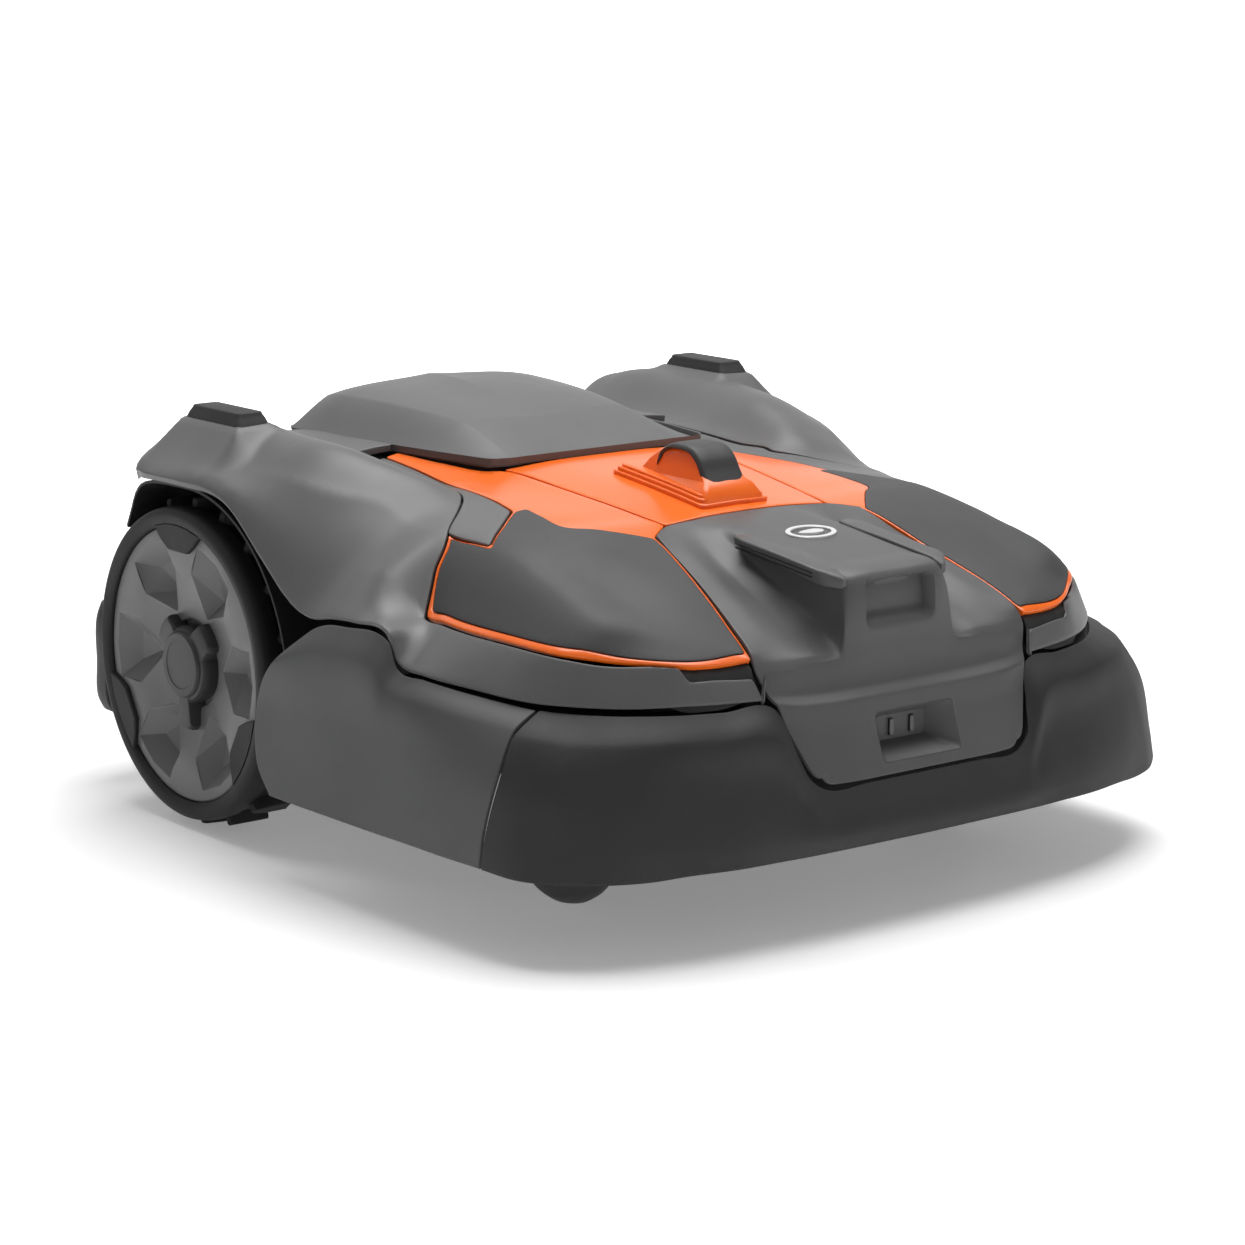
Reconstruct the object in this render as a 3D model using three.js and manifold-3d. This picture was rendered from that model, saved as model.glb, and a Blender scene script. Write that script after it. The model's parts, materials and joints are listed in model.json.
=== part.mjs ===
// Robotic lawn mower for large lawns: two driven rear wheels, two front casters, and a floating
// plastic body over a rigid chassis that carries the batteries, gear motors and cutting unit.
// Millimetres. The front faces -Y, +Z is up, and the origin is the centre of the base.
import * as THREE from 'three';
import { mergeVertices } from 'three/addons/utils/BufferGeometryUtils.js';
import Module from 'manifold-3d';

const wasm = await Module();
wasm.setup();

// ---------------------------------------------------------------- driving dimensions
const WHEEL = { radius: 145, y: 190, inner: 272, outer: 332, lugs: 20, lugHeight: 7, bead: 121 };
const CASTER = { x: 206, swivelY: -240, trail: 38, radius: 62, width: 40 };
const CUTTER = { y: -10, discRadius: 110, pivotRadius: 95, blades: 5, discZ: 50 };
const PANEL = 3;
const GAP = 1.1;
const CHASSIS = { halfWidth: 225, front: -130, rear: 330, floor: 95, rim: 215, wall: 4 };

// ---------------------------------------------------------------- finishes
const finish = (color, roughness, metalness = 0) => () =>
  new THREE.MeshStandardMaterial({ color, roughness, metalness });
const GREY = finish(0x626262, 0.55);
const DARK_GREY = finish(0x474747, 0.6);
const PANEL_GREY = finish(0x505050, 0.7);
const BLACK = finish(0x262626, 0.65);
const RUBBER = finish(0x1c1c1c, 0.85);
const ORANGE = finish(0xf4570c, 0.3);
const STEEL = finish(0xb8bbbe, 0.3, 1);
const ALUMINIUM = finish(0x9a9da0, 0.45, 1);
const SILVER = finish(0xd8d8d8, 0.35, 0.6);
const BOARD = finish(0x1f5a36, 0.5);

// ---------------------------------------------------------------- shape helpers
const V = (x, y, z) => new THREE.Vector3(x, y, z);
const points = (rows) => rows.map((p) => V(...p));

function volumeOf(geometry) {
  const at = geometry.attributes.position;
  const index = geometry.index.array;
  const [a, b, c] = [V(), V(), V()];
  let sum = 0;
  for (let i = 0; i < index.length; i += 3) {
    a.fromBufferAttribute(at, index[i]);
    b.fromBufferAttribute(at, index[i + 1]);
    c.fromBufferAttribute(at, index[i + 2]);
    sum += a.dot(b.cross(c));
  }
  return sum / 6;
}

// A welded copy of a closed geometry with its faces pointing out.
function closed(geometry) {
  const bare = geometry.clone();
  bare.deleteAttribute('normal');
  bare.deleteAttribute('uv');
  const welded = mergeVertices(bare, 1e-3);
  const kept = [];
  const index = welded.index.array;
  for (let i = 0; i < index.length; i += 3) {
    const [a, b, c] = [index[i], index[i + 1], index[i + 2]];
    if (a !== b && b !== c && a !== c) kept.push(a, b, c);
  }
  welded.setIndex(kept);
  if (volumeOf(welded) < 0) welded.setIndex(kept.reverse());
  return welded;
}

function toSolid(geometry) {
  const g = closed(geometry);
  const vertProperties = new Float32Array(g.attributes.position.array);
  const triVerts = new Uint32Array(g.index.array);
  return new wasm.Manifold(new wasm.Mesh({ numProp: 3, vertProperties, triVerts }));
}

function toGeometry(solid) {
  const { vertProperties, triVerts } = solid.getMesh();
  const g = new THREE.BufferGeometry();
  g.setAttribute('position', new THREE.BufferAttribute(vertProperties, 3));
  g.setIndex(new THREE.BufferAttribute(triVerts, 1));
  return g;
}

const join = (first, ...rest) => toGeometry(rest.reduce((s, g) => s.add(toSolid(g)), toSolid(first)));
const cut = (first, ...rest) => toGeometry(rest.reduce((s, g) => s.subtract(toSolid(g)), toSolid(first)));
const common = (a, b) => toGeometry(toSolid(a).intersect(toSolid(b)));

function box(x0, x1, y0, y1, z0, z1) {
  return new THREE.BoxGeometry(x1 - x0, y1 - y0, z1 - z0)
    .translate((x0 + x1) / 2, (y0 + y1) / 2, (z0 + z1) / 2);
}

function rod(from, to, radius, sides = 20) {
  const axis = to.clone().sub(from);
  const turn = new THREE.Quaternion().setFromUnitVectors(V(0, 1, 0), axis.clone().normalize());
  const middle = from.clone().add(to).multiplyScalar(0.5);
  return new THREE.CylinderGeometry(radius, radius, axis.length(), sides)
    .applyMatrix4(new THREE.Matrix4().compose(middle, turn, V(1, 1, 1)));
}

// A profile of [radius, height] pairs turned about an axis through a centre, along +Z or +X.
function turned(profile, sides, centre, axis = 'z') {
  const g = new THREE.LatheGeometry(profile.map(([r, h]) => new THREE.Vector2(r, h)), sides);
  if (axis === 'z') g.rotateX(Math.PI / 2);
  else g.rotateZ(-Math.PI / 2);
  return g.translate(...centre);
}

const flat = (outline) => new THREE.Shape(outline.map(([a, b]) => new THREE.Vector2(a, b)));

// Outline in plan (x, y) pulled up from z0 to z1.
function prism(outline, z0, z1) {
  return new THREE.ExtrudeGeometry(flat(outline), { depth: z1 - z0, bevelEnabled: false }).translate(0, 0, z0);
}

// Outline in side view (y, z) pulled from x0 to x1.
function sidePrism(outline, x0, x1) {
  return new THREE.ExtrudeGeometry(flat(outline), { depth: x1 - x0, bevelEnabled: false })
    .applyMatrix4(new THREE.Matrix4().makeBasis(V(0, 1, 0), V(0, 0, 1), V(1, 0, 0)))
    .translate(x0, 0, 0);
}

// An outline moved inwards by a distance, corner by corner.
function inset(outline, distance) {
  const turn = THREE.ShapeUtils.isClockWise(flat(outline).getPoints()) ? -1 : 1;
  const n = outline.length;
  const normal = (a, b) => {
    const length = Math.hypot(b[0] - a[0], b[1] - a[1]);
    return [(-(b[1] - a[1]) / length) * turn, ((b[0] - a[0]) / length) * turn];
  };
  return outline.map((p, i) => {
    const m = normal(outline[(i + n - 1) % n], p);
    const k = normal(p, outline[(i + 1) % n]);
    const scale = distance / Math.max(0.35, 1 + m[0] * k[0] + m[1] * k[1]);
    return [p[0] + (m[0] + k[0]) * scale, p[1] + (m[1] + k[1]) * scale];
  });
}

// Smooth curve through points. soft(i) is 1 where the curve rounds a point and 0 at a sharp corner.
function smooth(through, steps, soft = () => 1) {
  const towards = (a, b) => b.clone().sub(a).normalize();
  const out = [];
  for (let i = 0; i < through.length - 1; i++) {
    const [a, b] = [through[i], through[i + 1]];
    const chord = towards(a, b);
    const before = i > 0 ? towards(through[i - 1], a) : chord.clone();
    const after = i < through.length - 2 ? towards(b, through[i + 2]) : chord.clone();
    const length = a.distanceTo(b);
    const start = chord.clone().lerp(before.add(chord).normalize(), soft(i)).multiplyScalar(length);
    const end = chord.clone().lerp(after.add(chord).normalize(), soft(i + 1)).multiplyScalar(length);
    for (let k = 0; k < steps; k++) {
      const t = k / steps;
      const p = a.clone().multiplyScalar(2 * t ** 3 - 3 * t ** 2 + 1);
      p.addScaledVector(start, t ** 3 - 2 * t ** 2 + t);
      p.addScaledVector(b, -2 * t ** 3 + 3 * t ** 2);
      p.addScaledVector(end, t ** 3 - t ** 2);
      out.push(p);
    }
  }
  out.push(through.at(-1).clone());
  return out;
}

// Grid of points over a surface given by stations, each a row of control points.
function surface(stations, along, across, soft) {
  const columns = stations[0].map((_, c) => smooth(points(stations.map((s) => s[c])), along));
  return columns[0].map((_, r) => smooth(columns.map((column) => column[r]), across, soft));
}

const mirrorPoint = (p) => V(-p.x, p.y, p.z);

// A half grid that starts on the centre plane, continued to the other side.
const bothSides = (grid) => grid.map((row) => [...row.slice(1).reverse().map(mirrorPoint), ...row]);

// The same for a grid whose first row lies on the centre plane.
const bothEnds = (grid) => [...grid.slice(1).reverse().map((row) => row.map(mirrorPoint)), ...grid];

// Closed sheet between a grid of points and the same points moved by inward(p, row, column).
function sheet(grid, inward) {
  const [rows, cols] = [grid.length, grid[0].length];
  const near = grid.flat();
  const far = grid.flatMap((row, r) => row.map((p, c) => inward(p, r, c)));
  const index = [];
  const quad = (a, b, c, d) => index.push(a, b, c, a, c, d);
  const id = (r, c) => r * cols + c;
  const shift = rows * cols;
  for (let r = 0; r < rows - 1; r++) {
    for (let c = 0; c < cols - 1; c++) {
      quad(id(r, c), id(r, c + 1), id(r + 1, c + 1), id(r + 1, c));
      quad(shift + id(r, c), shift + id(r + 1, c), shift + id(r + 1, c + 1), shift + id(r, c + 1));
    }
  }
  const wall = (a, b) => quad(b, a, shift + a, shift + b);
  for (let c = 0; c < cols - 1; c++) {
    wall(id(0, c), id(0, c + 1));
    wall(id(rows - 1, c + 1), id(rows - 1, c));
  }
  for (let r = 0; r < rows - 1; r++) {
    wall(id(r + 1, 0), id(r, 0));
    wall(id(r, cols - 1), id(r + 1, cols - 1));
  }
  const g = new THREE.BufferGeometry();
  const coordinates = [...near, ...far].flatMap((p) => p.toArray());
  g.setAttribute('position', new THREE.Float32BufferAttribute(coordinates, 3));
  g.setIndex(index);
  return g;
}

// Block that tapers from one rectangle to another: each is [x0, x1, a0, a1] at a height or depth.
function taper(from, to, place) {
  const corner = ([x0, x1, a0, a1], at) => [
    [place(x0, a0, at), place(x1, a0, at)],
    [place(x0, a1, at), place(x1, a1, at)],
  ];
  const far = corner(to.rect, to.at);
  return sheet(corner(from.rect, from.at), (p, r, c) => far[r][c]);
}
const upright = (x, y, z) => V(x, y, z);
const facing = (x, z, y) => V(x, y, z);

const drop = (depth) => (p) => V(p.x, p.y, p.z - depth);

// Inward move for the body panels: down, and towards the middle where the body turns steep.
function within(depth) {
  return (p) => {
    const side = THREE.MathUtils.clamp((Math.abs(p.x) - 240) / 60, 0, 1);
    const nose = THREE.MathUtils.clamp((-p.y - 300) / 60, 0, 1);
    return V(p.x - Math.sign(p.x) * depth * 0.7 * side, p.y + depth * 0.7 * nose, p.z - depth);
  };
}

// Inward move for the upright panels: towards a line low inside the body.
function toCore(depth) {
  return (p) => {
    const core = V(0, THREE.MathUtils.clamp(p.y, -200, 200), THREE.MathUtils.clamp(p.z, 60, 150));
    return p.clone().addScaledVector(core.sub(p).normalize(), depth);
  };
}

// Move along the local surface normal of a grid.
function alongNormal(grid, depth) {
  const within = (i, list) => list[THREE.MathUtils.clamp(i, 0, list.length - 1)];
  const at = (r, c) => within(c, within(r, grid));
  return (p, r, c) => {
    const across = at(r, c + 1).clone().sub(at(r, c - 1));
    const along = at(r + 1, c).clone().sub(at(r - 1, c));
    return p.clone().addScaledVector(across.cross(along).normalize(), depth);
  };
}

const mirrored = (geometry) => closed(geometry).applyMatrix4(new THREE.Matrix4().makeScale(-1, 1, 1));

const mower = new THREE.Group();

function add(name, geometry, material) {
  const mesh = new THREE.Mesh(closed(geometry), material());
  mesh.name = name;
  mower.add(mesh);
}

// The mower faces -Y, so its left side is +X.
function addPair(name, geometry, material) {
  add(`${name}_left`, geometry, material);
  add(`${name}_right`, mirrored(geometry), material);
}

// ---------------------------------------------------------------- body surface and part lines
// Stations of the left flank, front to rear. Each runs outwards: nose edge or hood crease, hood edge,
// flank, shoulder or fender crest, trim line, and the lower edge of the painted band.
const FLANK = [
  [[143, -359, 222.5], [144, -360, 222], [145, -361, 221.5],
   [146, -362, 221], [147, -364, 217.5], [141, -375, 186.5]],
  [[141, -342, 232], [155, -342, 232], [170, -342, 232],
   [185, -341, 231], [205, -351, 220], [205, -361, 188]],
  [[135, -310, 247], [160, -313, 246.5], [187, -316, 244],
   [214, -318, 240], [240, -323, 224], [253.5, -330.5, 188.5]],
  [[124, -268, 264], [160, -274, 262], [197, -281, 257],
   [241, -296, 250.5], [273, -290, 228], [294, -288, 190.5]],
  [[113, -215, 285], [155, -218, 282], [200, -222, 278],
   [241, -225, 271], [284, -230, 230], [316, -220.5, 196]],
  [[88, -178, 294.5], [140, -168, 294.5], [195, -163, 292.5],
   [236, -150, 286.5], [288, -170, 231], [327, -176, 200.5]],
  [[90, -150, 298], [150, -142, 297], [197, -137, 294.5],
   [236, -125, 288.5], [288, -148, 232], [331, -147.5, 205.5]],
  [[93, -120, 302], [160, -115, 300], [200, -110, 296.5],
   [237, -99, 290], [287, -122, 233], [334, -137, 230]],
  [[99, -60, 309], [168, -55, 304], [206, -66, 299], [243, -78, 291.5], [295, -85, 262], [335, -90, 230]],
  [[102, -25, 313], [164, -35, 305], [206, -36, 306], [249, -44, 294.5], [300, -50, 263], [335, -55, 227]],
  [[105, 5, 316], [162, -2, 306], [206, -8, 319], [251, -12, 307], [300, -26, 266], [335, -23, 222]],
  [[118, 45, 317], [168, 42, 306], [221, 28, 331], [275, 26, 313], [315, 22, 272], [333, 10, 228]],
  [[126, 90, 318], [174, 88, 311], [236, 75, 342], [289, 72, 320], [321, 70, 292], [332, 50, 254]],
  [[135, 140, 320], [178, 140, 315], [246, 135, 346], [303, 135, 321.5], [325, 125, 312], [332, 105, 294]],
  [[135, 200, 320], [178, 200, 314], [243, 200, 347], [306, 200, 322.5], [325, 197, 312], [332, 175, 303]],
  [[135, 250, 316], [178, 250, 312], [240, 250, 348], [307, 246, 320.5], [323, 243, 311], [332, 228, 303.5]],
  [[135, 290, 312], [181, 290, 309], [238, 290, 343], [303, 276, 319], [319, 266, 311], [331, 248, 302]],
  [[135, 328, 302], [186, 328, 297], [234, 326, 330], [287, 305, 312], [312, 284, 303], [329, 257, 300]],
  [[135, 352, 285], [190, 354, 264], [232, 350, 275], [270, 332, 284], [306, 294, 292], [327, 264, 298]],
];
const flankSoft = (column) => [0.5, 1, 1, 0.75, 0.55, 1][column];
const flank = surface(FLANK, 1, 2, flankSoft);

// Hood between the two creases: centre line, middle and crease.
const HOOD = [
  [[0, -181, 298], [45, -181, 297], [87, -181, 294]],
  [[0, -120, 306.5], [46, -120, 305.5], [93, -120, 302]],
  [[0, -60, 313], [50, -60, 312.5], [99, -60, 309]],
  [[0, 5, 319.5], [53, 5, 319], [105, 5, 316]],
  [[0, 30, 321.5], [56, 30, 321], [112, 30, 317.5]],
];
const hood = bothSides(surface(HOOD, 1, 1));

const CREASE = [[105, 5], [99, -60], [93, -120], [87, -181]];
const NOSE_EDGE = [
  [112, -199], [118, -236], [124, -268], [131, -297], [139, -329], [144.5, -357], [146, -363],
];
const TRIM = [[200, -353], [238, -326], [273, -290], [284, -231], [288, -170], [287, -122]];
const SHOULDER_EDGE = [[262, -102], [250, -97], [240, -89]];
const HOOD_EDGE = [[160, -88], [163, -112], [163, -150], [149, -162]];
const STRIP_INNER = [[172, -84], [163, -42], [155, 10], [151, 80], [151, 134]];
const LID_SIDE = [[136, 134], [128, 80], [118, 28], [110, 17]];
const INSERT_TIP = [235, -140];

// Lid outline in plan, left half, front to rear.
const LID_BASE = [[100, 20], [112, 22], [116, 28], [126, 80], [134, 134], [139, 220], [141, 300], [132, 314]];
const LID_OUTLINE = [...LID_BASE, ...LID_BASE.map(([x, y]) => [-x, y]).reverse()];
const LID_MIDDLE = 167;
const lidOutline = (scale) => LID_OUTLINE.map(([x, y]) => [x * scale, LID_MIDDLE + (y - LID_MIDDLE) * scale]);

// ---------------------------------------------------------------- body shells
function bodyPanels() {
  const skin = sheet(flank, within(PANEL));
  const deepSkin = sheet(flank, within(2 * PANEL));

  // Orange side frame: the hood's side facet and the rim around the dark side panel.
  const frameOutline = [
    ...CREASE, ...NOSE_EDGE, ...TRIM, ...SHOULDER_EDGE, INSERT_TIP, ...STRIP_INNER, ...LID_SIDE,
  ];
  const panelOutline = [
    [115, -200], [121, -236], [127, -268], [134, -297], [142, -329], [147, -356], [198, -348], [235, -322.5],
    [268.5, -287.5], [279, -230], [283, -170], [282, -124], [260, -105], [247, -100], [241, -94],
    [237.5, -145],
    [172, -88], ...HOOD_EDGE,
  ];
  const pocketFloor = flank.map((row) => row.map(within(2.2)));
  const pocket = common(sheet(pocketFloor, (p) => V(p.x, p.y, p.z + 30)), prism(panelOutline, 150, 400));
  addPair('side_frame', cut(common(deepSkin, prism(inset(frameOutline, GAP), 150, 400)), pocket), ORANGE);

  // Dark side panel, let into the side frame.
  const raised = flank.map((row) => row.map((p) => V(p.x, p.y, p.z + 0.4)));
  const inlay = sheet(raised, within(2.2));
  addPair('side_panel', common(inlay, prism(inset(panelOutline, 0.4), 150, 400)), PANEL_GREY);

  // Grey insert between hood and fender.
  const insertOutline = [
    ...STRIP_INNER.slice().reverse(), INSERT_TIP, [240, -87], [174, -10], [176, 4], [176, 134],
  ];
  addPair('shoulder_insert', common(skin, prism(inset(insertOutline, GAP), 150, 400)), GREY);

  // Painted side shell: the band under the side panel, then the fender over the rear wheel.
  const shellOutline = [
    [148, -500], [147, -368], [204, -356], [210, -351],
    ...TRIM.slice(1), ...SHOULDER_EDGE, [174, -10], [176, 4],
    [175, 200], [178, 282], [184, 320], [189, 356], [196, 400], [420, 400], [420, -500],
  ];
  const shell = common(skin, prism(inset(shellOutline, GAP), 100, 400));
  const inside = sheet(flank.map((row) => row.map((p) => V(p.x, p.y, p.z - 1))), drop(70));
  const seat = { rect: [253, 283, 160, 243], at: 352 };
  const plinth = taper({ rect: [244, 292, 132, 262], at: 325 }, seat, upright);
  addPair('side_shell', join(shell, cut(plinth, inside)), GREY);

  // Orange hood in the middle.
  const creaseBack = [...CREASE].reverse();
  const hoodOutline = [...CREASE.map(([x, y]) => [-x, y]), ...creaseBack, [108, 16.5], [-108, 16.5]];
  add('hood', common(sheet(hood, drop(PANEL)), prism(inset(hoodOutline, GAP), 200, 400)), ORANGE);
}

// Black inner body that carries every cover, under the visible panels.
function bodyFrame() {
  const under = (grid, depth) => grid.map((row) => row.map(within(depth)));
  const side = sheet(under(surface(FLANK, 1, 1, flankSoft), 9), within(2.5));
  const middle = sheet(under(hood.map((row) => row.map((p) => V(p.x * 1.12, p.y, p.z))), 11.5), drop(3));
  const reach = [
    [0, -178], [112, -196], [128, -268], [140, -330], [200, -338], [250, -290], [268, -230], [272, -120],
    [290, -60], [300, 60], [300, 240], [190, 240], [146, 240], [146, 20], [0, 20],
  ];
  const plan = prism([...reach, ...reach.slice(1, -1).map(([x, y]) => [-x, y]).reverse()], 100, 400);
  const cover = common(join(side, mirrored(side), middle), plan);
  const frontWall = box(-156, 156, -361, -358, 78, 205);
  const arm = (x) => [box(x, x + 10, -359, -324, 180, 205), box(x, x + 10, -334, -324, 200, 228.5)];
  const arms = [-156, 146].flatMap(arm);
  add('body_frame', join(cover, frontWall, ...arms), BLACK);
}

// Nose cover rows, top to bottom: centre, hump top, hump edge, hump foot, scoop, plate and outer edge.
const NOSE = [
  [[0, -182, 297.5], [35, -182, 297], [48, -182, 296.5], [58, -183, 296],
   [72, -183.5, 295.4], [90, -185, 294], [110, -198, 291]],
  [[0, -205, 296], [38, -205, 295], [50, -205, 293], [58, -206, 291],
   [75, -207, 287], [98, -210, 286], [114, -216, 284]],
  [[0, -235, 293], [40, -235, 292], [52, -235, 289], [59, -236, 281],
   [78, -238, 272], [102, -240, 275], [117, -238, 275]],
  [[0, -268, 289], [42, -268, 288], [52, -268, 285], [60, -269, 267],
   [80, -270, 257.5], [106, -270, 263], [123, -268, 264]],
  [[0, -300, 285], [43, -300, 284], [52, -300, 280], [60, -301, 253],
   [84, -303, 245.5], [112, -301, 252], [130, -297, 253]],
  [[0, -330, 281], [43, -330, 280], [52, -330, 277], [61, -331, 240],
   [86, -332, 234.5], [117, -331, 239], [138, -329, 240]],
  [[0, -364, 276], [42, -363, 275], [51, -360, 272], [60, -356, 224],
   [88, -355, 223], [118, -355, 224], [143, -357, 224]],
  [[0, -370, 268], [42, -369, 266], [53, -367, 258], [61, -366, 218],
   [90, -366, 217], [120, -364, 217], [144, -361, 218]],
  [[0, -372, 219], [42, -372, 218], [55, -371, 217], [63, -371, 213],
   [90, -370, 212], [120, -369, 210], [144, -364, 211]],
  [[0, -380, 179], [42, -380, 179], [55, -380, 179], [65, -380, 179],
   [90, -379, 180], [116, -378, 182], [135, -374, 186]],
  [[0, -390, 162], [42, -390, 162], [55, -390, 162], [65, -390, 162],
   [86, -389, 162], [108, -387, 163], [127, -383, 166]],
  [[0, -404, 121], [42, -404, 121], [55, -404, 121], [65, -404, 121],
   [80, -403, 121], [97, -402, 122], [111, -400, 126]],
];

function noseParts() {
  const cover = bothSides(surface(NOSE, 1, 1));
  const skin = sheet(cover, alongNormal(cover, PANEL));
  const well = common(sheet(cover, (p) => V(p.x * 0.97, p.y + 34, p.z)), box(-47, 47, -420, -368, 128, 172));
  const mouth = { rect: [-46, 46, 127, 173], at: -404 };
  const floor = { rect: [-26, 26, 139, 161], at: -373 };
  add('nose_cover', cut(join(skin, well), taper(mouth, floor, facing)), GREY);
  add('charging_contacts', box(-21, 21, -376, -373.4, 142, 158), STEEL);
  const earOutline = [[-240, 290], [-240, 283.4], [-350, 268], [-360, 263], [-363, 271], [-350, 279]];
  const ear = sidePrism(earOutline, 57.8, 67);
  addPair('visor_ear', ear, GREY);
  const emblem = new THREE.CylinderGeometry(20, 20, 1.2, 24).rotateX(Math.PI / 2).rotateX(0.125);
  add('nose_emblem', emblem.translate(0, -262, 291.4), SILVER);
}

// Warning beacon with the stop button on top, standing on the hood.
function beacon() {
  const under = sheet(hood.map((row) => row.map((p) => V(p.x, p.y, p.z + 0.5))), drop(60));
  const step = (halfWidth, front, rear, at) => ({ rect: [-halfWidth, halfWidth, front, rear], at });
  const foot = taper(step(36, -166, -44, 290), step(34, -163, -47, 314), upright);
  const tower = taper(step(31, -160, -50, 312), step(20, -146, -74, 339), upright);
  const seat = taper(step(22.8, -175, -86, 311), step(22.8, -175, -91, 345), upright);
  add('beacon_base', cut(join(foot, tower), under, seat), ORANGE);
  add('stop_button', taper(step(22, -157, -88, 315.8), step(20, -139, -96, 347.5), upright), BLACK);
}

// Lid rows, front to rear: centre, plateau edge, foot.
const LID = [
  [[0, 20, 323], [60, 20, 322.5], [100, 20, 322]],
  [[0, 26, 324.5], [88, 27, 324], [116, 28, 321.5]],
  [[0, 101, 344], [88, 101, 345], [128, 92, 321]],
  [[0, 172, 355], [98, 172, 351], [135, 160, 321]],
  [[0, 244, 363], [106, 240, 353], [139, 222, 322]],
  [[0, 288, 361], [110, 285, 351], [141, 300, 322]],
  [[0, 316, 324], [104, 315, 323], [132, 314, 322]],
];

// Rear deck rows, front to rear, each outwards from the centre.
const DECK = [
  [[0, 137, 326], [90, 137, 326], [150, 137, 325.5], [173, 143, 323]],
  [[0, 200, 326], [90, 200, 326], [150, 200, 325], [173, 200, 322]],
  [[0, 280, 326], [90, 280, 325], [150, 280, 322], [176, 282, 314]],
  [[0, 318, 320], [90, 318, 319], [150, 318, 313], [182, 320, 303]],
  [[0, 354, 292], [90, 353, 291], [145, 352, 286], [187, 356, 262]],
  [[0, 386, 236], [90, 385, 235], [170, 381, 230], [246, 364, 222]],
  [[0, 404, 172], [90, 403, 172], [190, 398, 172], [276, 378, 170]],
];

function topAndRear() {
  const lid = bothSides(surface(LID, 1, 1));
  add('lid', sheet(lid, drop(4)), GREY);
  const deck = bothSides(surface(DECK, 1, 1));
  const lidHole = prism(inset(LID_OUTLINE, -2.4), 250, 400);
  add('rear_deck', cut(sheet(deck, drop(PANEL)), lidHole), GREY);
  const tray = prism(lidOutline(0.955), 299, 311.5);
  add('control_panel', cut(tray, box(-92, 92, 60, 270, 304, 330)), BLACK);
  add('keypad', box(-60, 60, 90, 170, 304.4, 308), RUBBER);
  const ring = cut(prism(lidOutline(0.94), 311.9, 316.5), prism(lidOutline(0.9), 300, 330));
  add('lid_gasket', ring, RUBBER);

  // Rear bumper, a black bar low across the tail.
  const REAR = [[0, 414], [120, 413.5], [200, 411.5], [266, 407], [291, 399], [302, 384], [304, 364]];
  const rows = [65, 78, 110, 150, 165].map((z, i) => REAR.map(([x, y]) => [x, y - [6, 0, 0, 1, 7][i], z]));
  const bar = bothSides(surface(rows, 1, 1));
  add('rear_bumper', sheet(bar, toCore(5)), BLACK);
}

// Columns of the front bumper from the centre outwards, each from its lower edge to its top edge.
const BUMPER = [
  [[0, -411, 69], [0, -414, 80], [0, -409, 100], [0, -404.5, 118]],
  [[60, -410, 69], [60, -413.5, 80], [60, -408.5, 100], [60, -404, 118]],
  [[105, -409, 69], [105, -412, 80], [105, -407, 100], [106, -402.3, 118]],
  [[116, -408.5, 69], [116, -411, 81], [116, -406, 104], [117, -399, 128.5]],
  [[126, -408, 69], [126, -410, 83], [125.5, -403, 110], [123.5, -390.5, 149]],
  [[148, -406, 69], [148, -407, 85], [144, -397, 130], [136, -376, 183.5]],
  [[192, -402, 69], [190, -402, 88], [186, -391, 135], [180, -368, 183.5]],
  [[233, -393, 69], [231, -392, 90], [226, -382, 140], [214, -359, 184]],
  [[262, -383, 67], [260, -382, 92], [255, -373, 140], [236, -346, 184]],
  [[292, -370, 67], [289, -368, 93], [283, -359, 140], [255, -331, 184]],
  [[326, -343, 67], [322, -341, 94], [315, -335, 140], [276, -310, 184]],
  [[342, -317, 68], [338, -315, 95], [329, -310, 145], [290, -292, 185]],
  [[349, -283, 70], [347, -285, 95], [337, -293, 145], [294.5, -285.5, 185.5]],
];

const SKIRT = [
  [[349, -280, 70], [347.5, -282, 95], [338, -290, 145], [296.5, -283, 186]],
  [[352, -230, 70], [350, -231, 95], [344, -233, 145], [314.5, -222, 192.5]],
  [[353, -182, 70], [352, -182, 95], [347, -182, 145], [326, -176, 197]],
  [[354.5, -150, 70], [353, -150, 95], [348, -149, 145], [331.5, -150, 197]],
  [[355, -132, 70], [353.5, -132, 95], [349, -134, 145], [334.5, -134, 220]],
  [[356, -80, 70], [354.5, -80, 95], [351, -80, 145], [336, -82, 225]],
  [[357, -30, 70], [355.5, -30, 95], [352, -30, 145], [337, -43, 219]],
  [[357, 6, 70], [356, 26, 95], [353, 28, 145], [345, -14, 200]],
];

function skirts() {
  const bumper = bothEnds(surface(BUMPER, 1, 1));
  add('front_bumper', sheet(bumper, toCore(PANEL)), BLACK);
  addPair('side_skirt', sheet(surface(SKIRT, 1, 1), toCore(PANEL)), DARK_GREY);
}

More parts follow.
